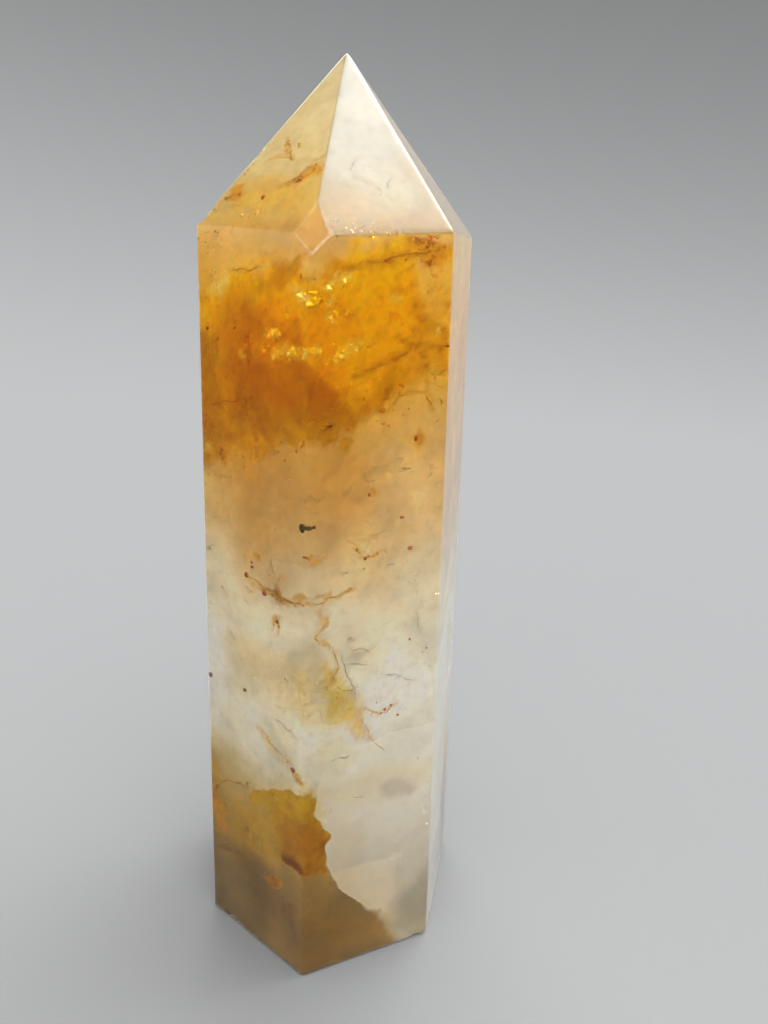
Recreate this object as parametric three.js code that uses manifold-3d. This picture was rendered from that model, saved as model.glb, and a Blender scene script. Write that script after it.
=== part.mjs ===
// A quartz tower: one piece of crystal ground into a slim six-sided prism with a six-facet point.
// Millimetres, +Z up. The base lies on z = 0, and the tower's bounding box is centred on the Z axis.

import * as THREE from "three";
import { mergeVertices } from "three/addons/utils/BufferGeometryUtils.js";
import Module from "manifold-3d";

// ---------------------------------------------------------------- driving dimensions

const HEIGHT = 110; // base to tip
const ROUGH_WIDTH = 60; // rough block that the tower is ground from
const GRINDER = 200; // side of the block that stands for one pass of the grinding wheel

// Side faces in order round the tower. Heading is the compass of the outward normal, in degrees from
// +X towards +Y; reach is the distance from the axis at the base; lean tips the face outward, in degrees.
const SIDES = {
  left: { heading: 173.3, reach: 15.82, lean: -0.464 },
  leftFront: { heading: 229.8, reach: 16.09, lean: -0.359 },
  rightFront: { heading: 295.8, reach: 15.47, lean: 0.198 },
  right: { heading: 349.2, reach: 14.98, lean: -0.599 },
  rightBack: { heading: 53.3, reach: 16.31, lean: 0.036 },
  leftBack: { heading: 112.3, reach: 16.28, lean: 0 },
};
const SIDE_NAMES = Object.keys(SIDES);
const SIDE_COUNT = SIDE_NAMES.length;

// Corners in the same order: each stands between its side and the next one. The value is the height of
// the shoulder there, where the corner edge turns into an edge of the point.
const SHOULDERS = { left: 91.01, front: 89.86, right: 90.91, rightBack: 91.35, back: 90.78, leftBack: 90.78 };
const CORNER_NAMES = Object.keys(SHOULDERS);

// The point's facets run to a virtual tip just above the small blunt tip that is left by polishing.
const TIP = new THREE.Vector3(-0.09, 0.39, HEIGHT + 0.18);

const EDGE_WEAR = 0.3; // width of the worn band along every polished edge
const BASE_WEAR = 0.35; // the same round the base, which is knocked more often

// The front shoulder corner is worn away to a small facet. Each value is where the facet crosses an edge,
// as the share of that edge's length from the corner.
const WORN_CORNER = { towardTip: 0.165, towardRight: 0.127, towardLeft: 0.14 };

// Chips: shallow scoops on an edge. From and to name the edge's ends, along is the share of its length,
// radius is the scoop's own radius and bite is how far it reaches into the edge.
const CHIPS = [
  { from: "left.shoulder", to: "tip", along: 0.045, radius: 1.3, bite: 0.42 },
  { from: "left.shoulder", to: "tip", along: 0.1, radius: 0.9, bite: 0.3 },
  { from: "left.shoulder", to: "tip", along: 0.41, radius: 0.8, bite: 0.28 },
  { from: "rightBack.shoulder", to: "tip", along: 0.165, radius: 1.1, bite: 0.34 },
  { from: "rightBack.shoulder", to: "tip", along: 0.22, radius: 0.8, bite: 0.24 },
  { from: "right.shoulder", to: "tip", along: 0.05, radius: 0.8, bite: 0.2 },
  { from: "left.base", to: "front.base", along: 0.09, radius: 0.9, bite: 0.4 },
  { from: "left.base", to: "front.base", along: 0.245, radius: 1.2, bite: 0.5 },
  { from: "left.base", to: "front.base", along: 0.325, radius: 1.0, bite: 0.42 },
  { from: "front.base", to: "right.base", along: 0.9, radius: 1.1, bite: 0.45 },
];
const CHIP_DETAIL = 1;

const QUARTZ = new THREE.MeshStandardMaterial({ color: 0xe3c48e, roughness: 0.08, metalness: 0 });

// ---------------------------------------------------------------- solids and planes

const wasm = await Module();
wasm.setup();

// A closed geometry as a solid that can be cut.
function solidOf(geometry) {
  geometry.deleteAttribute("normal");
  geometry.deleteAttribute("uv");
  const merged = mergeVertices(geometry);
  const triVerts = new Uint32Array(merged.index.array);
  const vertProperties = merged.attributes.position.array;
  return new wasm.Manifold(new wasm.Mesh({ numProp: 3, vertProperties, triVerts }));
}

// The plane of one side face.
function sidePlane({ heading, reach, lean }) {
  const azimuth = THREE.MathUtils.degToRad(heading);
  const tilt = THREE.MathUtils.degToRad(lean);
  const outward = new THREE.Vector3(Math.cos(azimuth), Math.sin(azimuth), 0);
  const foot = outward.clone().multiplyScalar(reach);
  const normal = outward.multiplyScalar(Math.cos(tilt)).setZ(-Math.sin(tilt));
  return new THREE.Plane().setFromNormalAndCoplanarPoint(normal, foot);
}

// The point where two side planes meet at a given height.
function cornerAt(planeA, planeB, height) {
  const level = new THREE.Plane(new THREE.Vector3(0, 0, 1), -height);
  const rows = new THREE.Matrix3();
  const [a, b, c] = [planeA.normal, planeB.normal, level.normal];
  rows.set(a.x, a.y, a.z, b.x, b.y, b.z, c.x, c.y, c.z);
  return new THREE.Vector3(-planeA.constant, -planeB.constant, height).applyMatrix3(rows.invert());
}

// The plane through three points, facing away from the inside of the tower.
function outwardPlane(p, q, r) {
  const plane = new THREE.Plane().setFromCoplanarPoints(p, q, r);
  const inside = new THREE.Vector3(0, 0, HEIGHT / 2);
  return plane.distanceToPoint(inside) > 0 ? plane.negate() : plane;
}

// The plane that takes a band of the given width off the edge between two faces.
function wornEdge(planeA, planeB, width) {
  const normal = planeA.normal.clone().add(planeB.normal).normalize();
  const half = planeA.normal.angleTo(normal);
  const edgeDistance = -(planeA.constant + planeB.constant) / (2 * Math.cos(half));
  const depth = (width / 2) * Math.tan(half);
  return new THREE.Plane(normal, depth - edgeDistance);
}

// Grinds away everything outside a plane.
function grind(solid, plane) {
  const wheel = new THREE.BoxGeometry(GRINDER, GRINDER, GRINDER);
  wheel.translate(0, 0, GRINDER / 2);
  const up = new THREE.Vector3(0, 0, 1);
  wheel.applyQuaternion(new THREE.Quaternion().setFromUnitVectors(up, plane.normal));
  const foot = plane.coplanarPoint(new THREE.Vector3());
  wheel.translate(foot.x, foot.y, foot.z);
  return solid.subtract(solidOf(wheel));
}

// ---------------------------------------------------------------- the tower's faces and corners

const base = new THREE.Plane(new THREE.Vector3(0, 0, -1), 0);
const sides = SIDE_NAMES.map((name) => sidePlane(SIDES[name]));

const next = (i) => (i + 1) % SIDE_COUNT;
const previous = (i) => (i + SIDE_COUNT - 1) % SIDE_COUNT;

const corners = { tip: new THREE.Vector3(TIP.x, TIP.y, HEIGHT) };
CORNER_NAMES.forEach((name, i) => {
  corners[`${name}.base`] = cornerAt(sides[i], sides[next(i)], 0);
  corners[`${name}.shoulder`] = cornerAt(sides[i], sides[next(i)], SHOULDERS[name]);
});
const shoulderAt = (i) => corners[`${CORNER_NAMES[i]}.shoulder`];

// Each facet of the point stands over one side and runs through the tip and that side's two shoulders.
const facets = sides.map((side, i) => outwardPlane(TIP, shoulderAt(previous(i)), shoulderAt(i)));

const bluntTip = new THREE.Plane(new THREE.Vector3(0, 0, 1), -HEIGHT);

const edges = sides.flatMap((side, i) => [
  wornEdge(side, sides[next(i)], EDGE_WEAR),
  wornEdge(facets[i], facets[next(i)], EDGE_WEAR),
  wornEdge(side, facets[i], EDGE_WEAR),
  wornEdge(side, base, BASE_WEAR),
]);

const front = corners["front.shoulder"];
const wornCorner = outwardPlane(
  front.clone().lerp(corners.tip, WORN_CORNER.towardTip),
  front.clone().lerp(corners["right.shoulder"], WORN_CORNER.towardRight),
  front.clone().lerp(corners["left.shoulder"], WORN_CORNER.towardLeft),
);

// ---------------------------------------------------------------- grinding the tower

function makeTower() {
  const rough = new THREE.BoxGeometry(ROUGH_WIDTH, ROUGH_WIDTH, 2 * HEIGHT);
  const planes = [base, ...sides, ...facets, bluntTip, ...edges, wornCorner];
  return planes.reduce(grind, solidOf(rough));
}

// Knocks one chip out of an edge: a faceted scoop whose middle lies outside the tower.
function chip(solid, { from, to, along, radius, bite }) {
  const place = corners[from].clone().lerp(corners[to], along);
  const away = place.clone().setZ(0).normalize();
  const onPoint = to === "tip";
  away.setZ(onPoint ? 0.8 : -0.6).normalize();
  place.addScaledVector(away, radius - bite);
  const scoop = new THREE.IcosahedronGeometry(radius, CHIP_DETAIL);
  scoop.translate(place.x, place.y, place.z);
  return solid.subtract(solidOf(scoop));
}

function geometryOf(solid) {
  const { vertProperties, triVerts } = solid.getMesh();
  const geometry = new THREE.BufferGeometry();
  geometry.setAttribute("position", new THREE.BufferAttribute(vertProperties, 3));
  geometry.setIndex(new THREE.BufferAttribute(triVerts, 1));
  geometry.computeBoundingBox();
  const middle = geometry.boundingBox.getCenter(new THREE.Vector3());
  geometry.translate(-middle.x, -middle.y, -geometry.boundingBox.min.z);
  return geometry;
}

const crystal = new THREE.Mesh(geometryOf(CHIPS.reduce(chip, makeTower())), QUARTZ);
crystal.name = "crystal";

const tower = new THREE.Group();
tower.add(crystal);

export default tower;
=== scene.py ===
# A golden healer quartz tower: a slim six-sided point of milky quartz, polished all over, with golden iron
# stain in a band under its point. Lengths are in millimetres until a mesh is made.

import bpy
import numpy as np
from mathutils import Matrix, Vector


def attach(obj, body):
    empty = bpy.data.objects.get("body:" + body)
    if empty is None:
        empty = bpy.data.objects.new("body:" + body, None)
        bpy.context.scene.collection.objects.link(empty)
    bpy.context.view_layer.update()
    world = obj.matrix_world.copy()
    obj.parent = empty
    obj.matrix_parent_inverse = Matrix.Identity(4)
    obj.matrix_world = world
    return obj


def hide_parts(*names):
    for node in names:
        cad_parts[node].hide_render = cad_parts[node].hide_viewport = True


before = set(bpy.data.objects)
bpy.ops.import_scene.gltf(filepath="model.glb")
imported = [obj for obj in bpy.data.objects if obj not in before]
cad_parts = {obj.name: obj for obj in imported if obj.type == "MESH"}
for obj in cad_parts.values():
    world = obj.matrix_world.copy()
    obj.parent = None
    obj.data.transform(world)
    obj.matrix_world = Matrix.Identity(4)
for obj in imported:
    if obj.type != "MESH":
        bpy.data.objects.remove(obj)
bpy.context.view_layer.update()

scene = bpy.context.scene
scene.view_settings.view_transform = "Standard"
millimetre = 0.001

# ---------------------------------------------------------------- camera
# A close view from a little above, as over the edge of a table: the lens is wide and near, and it is held
# slightly turned.

eye = Vector((5.64, -99.40, 86.25))
looks_down = np.radians(16.49)
held_turn = np.radians(1.78)

camera_data = bpy.data.cameras.new("camera")
camera_data.sensor_width = 36.0
camera_data.lens = 28.01
nearest_shown = 5 * millimetre
camera_data.clip_start = nearest_shown
camera = bpy.data.objects.new("camera", camera_data)
scene.collection.objects.link(camera)
ahead = Vector((0, np.cos(looks_down), -np.sin(looks_down)))
level = Vector((1, 0, 0))
above = level.cross(ahead)
right_side = level * np.cos(held_turn) + above * np.sin(held_turn)
top_side = above * np.cos(held_turn) - level * np.sin(held_turn)
camera.matrix_world = Matrix((right_side, top_side, -ahead)).transposed().to_4x4()
camera.location = eye * millimetre
scene.camera = camera

# ---------------------------------------------------------------- table and studio light
# A pale table top that sweeps up into a wall all round, so that no corner or horizon shows from any side.
# Only the camera sees the wall, and light comes in through it from a pale tent. Polished faces mirror
# neither table nor wall but the tent, which is dark below the table's edge in front.


def sheet_mesh(name, points):
    """An open sheet through a grid of points, rows by columns, with a quad between each four neighbours."""
    rows, columns = points.shape[:2]
    index = np.arange(rows * columns).reshape(rows, columns)
    quads = np.stack([index[:-1, :-1], index[:-1, 1:], index[1:, 1:], index[1:, :-1]], axis=-1)
    mesh = bpy.data.meshes.new(name)
    mesh.from_pydata((points.reshape(-1, 3) * millimetre).tolist(), [], quads.reshape(-1, 4).tolist())
    mesh.shade_smooth()
    return mesh


def show(name, mesh, material):
    """The mesh as an object of its own, in the given material."""
    piece = bpy.data.objects.new(name, mesh)
    mesh.materials.append(material)
    scene.collection.objects.link(piece)
    return piece


def plain_material(name, colour, roughness):
    """A material of one Principled shader in one colour. Returns it with its shader."""
    material = bpy.data.materials.new(name)
    material.use_nodes = True
    shader = material.node_tree.nodes["Principled BSDF"]
    shader.inputs["Base Color"].default_value = (*colour, 1)
    shader.inputs["Roughness"].default_value = roughness
    return material, shader


floor_gap = 0.1
flat_radius = 400.0
sweep_radius = 500.0
wall_height = 2500.0
far_edge = 6000.0
turn = np.linspace(0, 2 * np.pi, 145)
curve = np.linspace(0, np.pi / 2, 40)


def turned(radii, heights):
    """A round sheet: each radius and height swept a full turn about the upright axis, seen from above."""
    return np.stack([
        radii[:, None] * np.cos(turn), radii[:, None] * np.sin(turn), heights[:, None] + 0 * turn], axis=-1)


table_grey = (0.145, 0.145, 0.144)
table_white, shader = plain_material("table white", table_grey, roughness=0.6)
shader.inputs["Specular IOR Level"].default_value = 0.0

flat_rings = np.append(np.linspace(0.5, flat_radius, 20), far_edge)
table = show("table", sheet_mesh("table", turned(flat_rings, 0 * flat_rings - floor_gap)), table_white)
table.visible_glossy = False
wall = show("wall", sheet_mesh("wall", turned(
    np.append(flat_radius + sweep_radius * np.sin(curve), flat_radius + sweep_radius),
    np.append(sweep_radius * (1 - np.cos(curve)) - floor_gap, wall_height))), table_white)
wall.visible_diffuse = False
wall.visible_glossy = False
wall.visible_transmission = False
wall.visible_volume_scatter = False
wall.visible_shadow = False


def put(tree, kind, **values):
    """A new node with its inputs set by name, an underscore standing for a space. A value that is an output
    socket is linked, and any other is written in. Returns the node."""
    node = tree.nodes.new("ShaderNode" + kind)
    for name, value in values.items():
        socket = node.inputs[int(name[1:])] if name[1:].isdigit() else node.inputs[name.replace("_", " ")]
        if isinstance(value, bpy.types.NodeSocket):
            tree.links.new(value, socket)
        else:
            socket.default_value = value
    return node


def reckon(tree, operation, *values):
    """A Math node: the operation on one to three numbers or sockets."""
    node = put(tree, "Math", **{f"_{i}": value for i, value in enumerate(values)})
    node.operation = operation
    return node.outputs[0]


def along(tree, position, direction):
    """The distance of a position along a direction."""
    node = put(tree, "VectorMath", _0=position, _1=direction)
    node.operation = "DOT_PRODUCT"
    return node.outputs["Value"]


def rise(tree, value, low, high):
    """0 below low, 1 above high, and an S-shaped rise between them."""
    node = put(tree, "MapRange", Value=value, From_Min=low, From_Max=high)
    node.interpolation_type = "SMOOTHSTEP"
    return node.outputs[0]


room = bpy.data.worlds.new("pale room")
scene.world = room
room.use_nodes = True
room.cycles.sampling_method = "NONE"
tree = room.node_tree
toward = put(tree, "TexCoord").outputs["Generated"]
upward = along(tree, toward, (0.0, 0.0, 1.0))

# Round parts of the tent, brighter or dimmer than the rest: the way to the middle of each, the cosines of
# the angles from it where the part starts and where it is full, and its strength.
lowest_glow = 0.60
upper_glow = 0.80
upper_lights = [
    ((0.35, 0.76, 0.54), 0.50, 0.92, 5.6),
    ((-0.16, -0.80, 0.58), 0.45, 0.90, 4.0),
    ((0.90, 0.10, 0.42), 0.60, 0.92, 0.7),
]
over_tower = ((0.35, 0.08, 0.93), 0.66, 0.93, 2.3)
dim_parts = [
    ((-0.58, 0.39, 0.715), 0.92, 0.985, -0.85),
    ((-0.42, -0.36, 0.83), 0.90, 0.98, -0.7),
]


def with_part(part, amount):
    """The amount with a round part of the tent added: its strength times an S-shaped rise from its rim."""
    direction, start, full, strength = part
    share = rise(tree, along(tree, toward, direction), start, full)
    return reckon(tree, "MULTIPLY_ADD", share, strength, amount)


for light in upper_lights:
    upper_glow = with_part(light, upper_glow)
glow = reckon(tree, "MULTIPLY_ADD", rise(tree, upward, 0.28, 0.60), upper_glow, lowest_glow)
glow = with_part(over_tower, glow)
for part in dim_parts:
    glow = reckon(tree, "MULTIPLY", glow, with_part(part, 1.0))

# Below the table's edge the front of the tent is dark: darkest near level, and a little paler further down.
darkness = 0.78
behind = rise(tree, along(tree, toward, (0.0, 1.0, 0.0)), 0.0, 0.5)
darkest = reckon(tree, "MULTIPLY_ADD", behind, darkness, -darkness)
level_belt = reckon(tree, "MULTIPLY_ADD", rise(tree, upward, -0.12, -0.26), -0.3, 1.0)
below = reckon(tree, "MULTIPLY", rise(tree, upward, 0.10, -0.02), level_belt)
glow = reckon(tree, "MULTIPLY", glow, reckon(tree, "MULTIPLY_ADD", below, darkest, 1.0))
tree.links.new(glow, tree.nodes["Background"].inputs["Strength"])
tree.nodes["Background"].inputs["Color"].default_value = (0.97, 0.985, 1.0, 1)

# ---------------------------------------------------------------- the crystal's shape
# One natural quartz crystal ground to six sides and a six-facet point, and polished. Its edges are softly
# rounded by the polish, and a few small chips are knocked out of them.

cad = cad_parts["crystal"].data
cad.calc_loop_triangles()
cad_points = np.empty(len(cad.vertices) * 3)
cad.vertices.foreach_get("co", cad_points)
cad_points = cad_points.reshape(-1, 3) / millimetre
corner_index = np.empty(len(cad.loop_triangles) * 3, dtype=np.int32)
cad.loop_triangles.foreach_get("vertices", corner_index)
triangles = cad_points[corner_index.reshape(-1, 3)]
crosses = np.cross(triangles[:, 1] - triangles[:, 0], triangles[:, 2] - triangles[:, 0])
areas = np.linalg.norm(crosses, axis=1) / 2
has_area = areas > 1e-9
triangles, crosses, areas = triangles[has_area], crosses[has_area], areas[has_area]
facing = crosses / (2 * areas[:, None])

# The ground planes of the CAD solid: its triangles grouped by the way they face, chips left out by size.
smallest_ground_face = 2.0
smallest_main_face = 60.0
_, member = np.unique(np.round(facing, 3), axis=0, return_inverse=True)
member = member.ravel()
group_area = np.bincount(member, areas)
ground = np.flatnonzero(group_area > smallest_ground_face)
normals = np.array([np.average(facing[member == g], axis=0, weights=areas[member == g]) for g in ground])
normals /= np.linalg.norm(normals, axis=1)[:, None]
reaches = np.array([np.median(triangles[member == g] @ n) for g, n in zip(ground, normals)])
main = group_area[ground] > smallest_main_face
heading = np.arctan2(normals[:, 1], normals[:, 0])
first_heading = np.radians(150)


def in_order(chosen):
    """The numbers of the chosen planes, sorted round the tower from the left side."""
    numbers = np.flatnonzero(chosen)
    return numbers[np.argsort((heading[numbers] - first_heading) % (2 * np.pi))]


side_names = ["far_left", "left", "right", "far_right", "right_back", "left_back"]
steepest_lean = 0.1
least_pitch = 0.3
upright = in_order(main & (np.abs(normals[:, 2]) < steepest_lean))
pitched = in_order(main & (normals[:, 2] > least_pitch))
side_plane = {name: (normals[k], reaches[k]) for name, k in zip(side_names, upright)}
facet_plane = {name: (normals[k], reaches[k]) for name, k in zip(side_names, pitched)}
base_plane = (np.array([0.0, 0.0, -1.0]), 0.0)


def meeting(*planes):
    """The point nearest to all the planes: each plane's normal times the point is its reach."""
    return np.linalg.lstsq(np.array([p[0] for p in planes]), np.array([p[1] for p in planes]), rcond=None)[0]


neighbours = list(zip(side_names, side_names[1:] + side_names[:1]))
feet = np.array([meeting(side_plane[a], side_plane[b], base_plane) for a, b in neighbours])
shoulders = np.array([meeting(side_plane[a], side_plane[b], facet_plane[a]) for a, b in neighbours])
tip = meeting(*facet_plane.values())

# The mesh's columns run up the tower and its rows round it, and both are close together near the edges.
near_an_edge = np.array([0, 0.07, 0.14, 0.22, 0.31, 0.42, 0.6])
face_width = 16.9
side_length = 91.0
point_length = 25.0


def spaced(length, count):
    """Shares of a length in millimetres: close together near both ends, and evenly spread between."""
    reach = near_an_edge[-1] + 0.25
    middle = np.linspace(reach, length - reach, count)
    return np.concatenate([near_an_edge, middle, length - near_an_edge[::-1]]) / length


across_face = spaced(face_width, 40)[:-1]
base_rings = np.linspace(0, 1, 12)[1:-1] ** 0.35
side_rows = spaced(side_length, 190)
point_rows = spaced(point_length, 45)[1:]


def round_the_tower(corners):
    """Points along the straight lines from each corner to the next, right round."""
    start = np.roll(corners, 1, axis=0)[:, None]
    return (start + (corners[:, None] - start) * across_face[None, :, None]).reshape(-1, 3)


foot_line = round_the_tower(feet)
shoulder_line = round_the_tower(shoulders)
base_middle = foot_line.mean(axis=0)
sharp = np.concatenate([
    [base_middle + foot_line * 0],
    base_middle + (foot_line - base_middle)[None] * base_rings[:, None, None],
    foot_line[None] + (shoulder_line - foot_line)[None] * side_rows[:, None, None],
    shoulder_line[None] + (tip - shoulder_line)[None] * point_rows[:, None, None],
])

# Chips are shallow scoops, each out of the edge from one corner to another, at a share of its length.
# Radius is the scoop's own and bite is how far it reaches into the edge.
corner_names = ["left", "front", "right", "right_back", "back", "left_back"]
corners = {"tip": tip}
corners.update({f"{name}_foot": foot for name, foot in zip(corner_names, feet)})
corners.update({f"{name}_shoulder": shoulder for name, shoulder in zip(corner_names, shoulders)})
chips = [
    ("left_shoulder", "tip", 0.045, 1.3, 0.42),
    ("left_shoulder", "tip", 0.1, 0.9, 0.3),
    ("left_shoulder", "tip", 0.41, 0.8, 0.28),
    ("right_back_shoulder", "tip", 0.165, 1.1, 0.34),
    ("right_back_shoulder", "tip", 0.22, 0.8, 0.24),
    ("right_shoulder", "tip", 0.05, 0.8, 0.2),
    ("left_foot", "front_foot", 0.09, 0.9, 0.4),
    ("left_foot", "front_foot", 0.245, 1.2, 0.5),
    ("left_foot", "front_foot", 0.325, 1.0, 0.42),
    ("front_foot", "right_foot", 0.9, 1.1, 0.45),
]
scoop_middles = []
for start, end, share, radius, bite in chips:
    place = corners[start] + (corners[end] - corners[start]) * share
    away = np.array([place[0], place[1], 0]) / np.hypot(place[0], place[1])
    away[2] = 0.8 if end == "tip" else -0.6
    scoop_middles.append(place + away / np.linalg.norm(away) * (radius - bite))
scoop_middles = np.array(scoop_middles)
scoop_radii = np.array([chip[3] for chip in chips])

edge_sharpness = 22.0  # per millimetre: the rounding takes ln 2 / sharpness off an edge of two planes
scoop_sharpness = 40.0


def soft_outside(points):
    """How far points lie outside the tower: the logarithm of the sum of exp(sharpness times the distance
    past each ground plane), over the sharpness. It is a little more than the largest of those distances.
    How far they lie inside a scoop is then taken in with them in the same way, but sharper."""
    past = points @ normals.T - reaches
    largest = past.max(axis=-1)
    excess = np.exp(edge_sharpness * (past - largest[..., None])).sum(axis=-1)
    ground_off = largest + np.log(excess) / edge_sharpness
    scooped = scoop_depth(points)
    return np.logaddexp(scoop_sharpness * ground_off, scoop_sharpness * scooped) / scoop_sharpness


def scoop_depth(points):
    """How far points lie inside the nearest scoop: its radius less the distance from its middle."""
    apart = np.linalg.norm(points[..., None, :] - scoop_middles, axis=-1)
    return (scoop_radii - apart).max(axis=-1)


# Each point of the sharp tower slides towards the axis until it is on the rounded one, by Newton's method.
lowest_aim, highest_aim = 14, 84
inward = -sharp
inward[..., 2] += np.clip(sharp[..., 2], lowest_aim, highest_aim)
inward /= np.linalg.norm(inward, axis=-1)[..., None]
slid = np.zeros(sharp.shape[:2])
small_step = 0.02
newton_steps = 6
for _ in range(newton_steps):
    here = soft_outside(sharp + inward * slid[..., None])
    further = soft_outside(sharp + inward * (slid + small_step)[..., None])
    slid += here * small_step / np.maximum(here - further, 1e-6)
surface = sharp + inward * slid[..., None]


def closed_mesh(name, grids):
    """Closed skins as one mesh. Each grid is rows by columns of points: columns run round the shape,
    counter-clockwise seen from its last row, and its first and last rows are single points, its poles."""
    grids = grids.reshape(-1, *grids.shape[-3:])
    count, rows, columns = grids.shape[:3]
    ring = np.arange((rows - 2) * columns).reshape(rows - 2, columns) + 1
    beside = np.roll(ring, -1, axis=1)
    last = (rows - 2) * columns + 1
    quads = np.stack([ring[:-1], beside[:-1], beside[1:], ring[1:]], axis=-1).reshape(-1, 4)
    first_fan = np.stack([beside[0], ring[0], ring[0] * 0], axis=-1)
    last_fan = np.stack([ring[-1], beside[-1], ring[-1] * 0 + last], axis=-1)
    fans = np.concatenate([first_fan, last_fan])
    start = np.arange(count)[:, None, None] * (last + 1)
    faces = (quads + start).reshape(-1, 4).tolist() + (fans + start).reshape(-1, 3).tolist()
    points = np.concatenate([
        grids[:, 0, :1], grids[:, 1:-1].reshape(count, -1, 3), grids[:, -1, :1],
    ], axis=1).reshape(-1, 3)
    mesh = bpy.data.meshes.new(name)
    mesh.from_pydata((points * millimetre).tolist(), [], faces)
    mesh.shade_smooth()
    return mesh


crystal_mesh = closed_mesh("crystal", surface)


def as_vertices(grid):
    """The values of a grid in the order of its closed mesh's vertices: one for each pole, and the rest."""
    return np.concatenate([grid[0, :1], grid[1:-1].reshape(-1, *grid.shape[2:]), grid[-1, :1]])


skin = as_vertices(surface)

# ---------------------------------------------------------------- the quartz
# Clear quartz with a milky haze through it, faintly iron-tinted all over and deep gold in the band. It is a
# see-through stone: the colour is in the stone, and the polish on it is glossy.


def cloud(tree, position, size, detail=3.0, roughness=0.5, w=0.0):
    """Cloudy noise from 0 to 1 with puffs about size millimetres wide. A w other than 0 picks another."""
    node = put(tree, "TexNoise", Vector=position, Scale=1 / size, Detail=detail, Roughness=roughness)
    if w:
        node.noise_dimensions = "4D"
        node.inputs["W"].default_value = w
    return node.outputs["Fac"]


def blend(tree, share, first, second, mode="MIX"):
    """The first colour with a share of the second mixed in."""
    node = tree.nodes.new("ShaderNodeMix")
    node.data_type = "RGBA"
    node.blend_type = mode
    for number, value in ((0, share), (6, first), (7, second)):
        if isinstance(value, bpy.types.NodeSocket):
            tree.links.new(value, node.inputs[number])
        else:
            node.inputs[number].default_value = (*value, 1) if number else value
    return node.outputs[2]


def colours_along(tree, value, stops):
    """A colour ramp: each stop is where the value, from 0 to 1, has that colour."""
    node = put(tree, "ValToRGB", Fac=value)
    ramp = node.color_ramp
    while len(ramp.elements) < len(stops):
        ramp.elements.new(0.5)
    for element, (place, colour) in zip(ramp.elements, stops):
        element.position = place
        element.color = (*colour, 1)
    return node.outputs["Color"]


def position_in_mm(tree):
    """The place on the piece, in millimetres."""
    node = put(tree, "VectorMath", _0=put(tree, "TexCoord").outputs["Object"])
    node.operation = "SCALE"
    node.inputs["Scale"].default_value = 1 / millimetre
    return node.outputs[0]


def mist(points, size, seed, octaves=5, fade=0.55):
    """Cloudy noise about 0, mostly within -1 to 1: random numbers on a cubic lattice, a size apart, with a
    smooth rise from each to the next. Each octave is half the size of the one before, and fainter."""
    random = np.random.default_rng(seed)
    total = np.zeros(points.shape[:-1])
    for octave in range(octaves):
        lattice = random.uniform(-1, 1, (32, 32, 32))
        place = points @ np.linalg.qr(random.normal(size=(3, 3)))[0] / size * 2 ** octave + 300
        cell = np.floor(place).astype(int)
        part = place - cell
        part = part * part * (3 - 2 * part)
        for corner in np.ndindex(2, 2, 2):
            share = np.prod(np.where(corner, part, 1 - part), axis=-1)
            at = (cell + corner) % 32
            total += 1.5 * fade ** octave * share * lattice[at[..., 0], at[..., 1], at[..., 2]]
    return total


def mist_shift(points, size, amount, seed):
    """The points moved by cloudy noise, up to about the amount each way."""
    shifts = [mist(points, size, seed + axis, octaves=3) for axis in range(3)]
    return points + amount * np.stack(shifts, axis=-1)


def slope(value, low, high):
    """0 below low, 1 above high, and an S-shaped rise between them."""
    share = np.clip((value - low) / (high - low), 0, 1)
    return share * share * (3 - 2 * share)


def face_frame(face):
    """The middle of a face's lower edge, its direction across to the right, its direction up and the way it
    faces. A name that starts with point is a facet of the point, which starts at the shoulders."""
    on_point = face.startswith("point_")
    side = face.removeprefix("point_")
    facing_out, _ = (facet_plane if on_point else side_plane)[side]
    line = shoulders if on_point else feet
    number = side_names.index(side)
    rightward = np.array([-facing_out[1], facing_out[0], 0.0])
    rightward /= np.linalg.norm(rightward)
    upward = np.cross(facing_out, rightward)
    return (line[number - 1] + line[number]) / 2, rightward, upward, facing_out


def spot(face, across, up, depth):
    """The place a depth under a face, at a distance across from its middle line and a height over the
    base."""
    start, rightward, upward, facing_out = face_frame(face)
    return start + rightward * across + upward * (up - start[2]) / upward[2] - facing_out * depth


def on(*marks, numbers_each=2):
    """Rows of face, across and height. A name sets the face for the numbers that follow it, which are taken
    two at a time, or three at a time where a radius comes third."""
    rows = []
    numbers = []
    for mark in marks:
        if isinstance(mark, str):
            face = mark
            continue
        numbers.append(mark)
        if len(numbers) == numbers_each:
            rows.append((face, *numbers))
            numbers = []
    return rows


def spots(rows, depth):
    """The places of rows of face, across and height, at a depth under each face."""
    return np.array([spot(*row[:3], depth) for row in rows])


# Colours of the stone, as it shows under white light.
water_clear = (1.0, 1.0, 1.0)
milk_white = (1.0, 0.99, 0.93)
straw = (1.0, 0.88, 0.50)
tan = (0.70, 0.51, 0.28)
honey = (1.0, 0.72, 0.05)
gold = (1.0, 0.66, 0.006)
amber = (0.75, 0.435, 0.003)
burnt = (0.585, 0.335, 0.003)
olive = (0.53, 0.31, 0.01)
ochre_brown = (0.62, 0.36, 0.01)
brown = (0.355, 0.27, 0.145)
smoke = (0.62, 0.58, 0.50)
# Not a colour of the stone: a painted sheen for the right front facet of the point.
painted_sheen_grey = (0.675, 0.725, 0.80)

# The body's colour at heights over the base.
body = [
    (0, (0.315, 0.237, 0.13)), (8, brown), (14, (0.54, 0.37, 0.13)), (19, (0.72, 0.52, 0.17)),
    (24, (0.94, 0.84, 0.58)), (28, milk_white), (40, milk_white), (50, (0.98, 0.92, 0.77)),
    (58, (0.88, 0.73, 0.49)), (64, (0.84, 0.66, 0.39)), (70, (0.94, 0.74, 0.44)), (90, (1.0, 0.72, 0.30)),
    (94, straw), (98, (1.0, 0.90, 0.62)), (110, milk_white),
]
body_heights = [height for height, _ in body]
body_colours = np.array([colour for _, colour in body])

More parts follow.
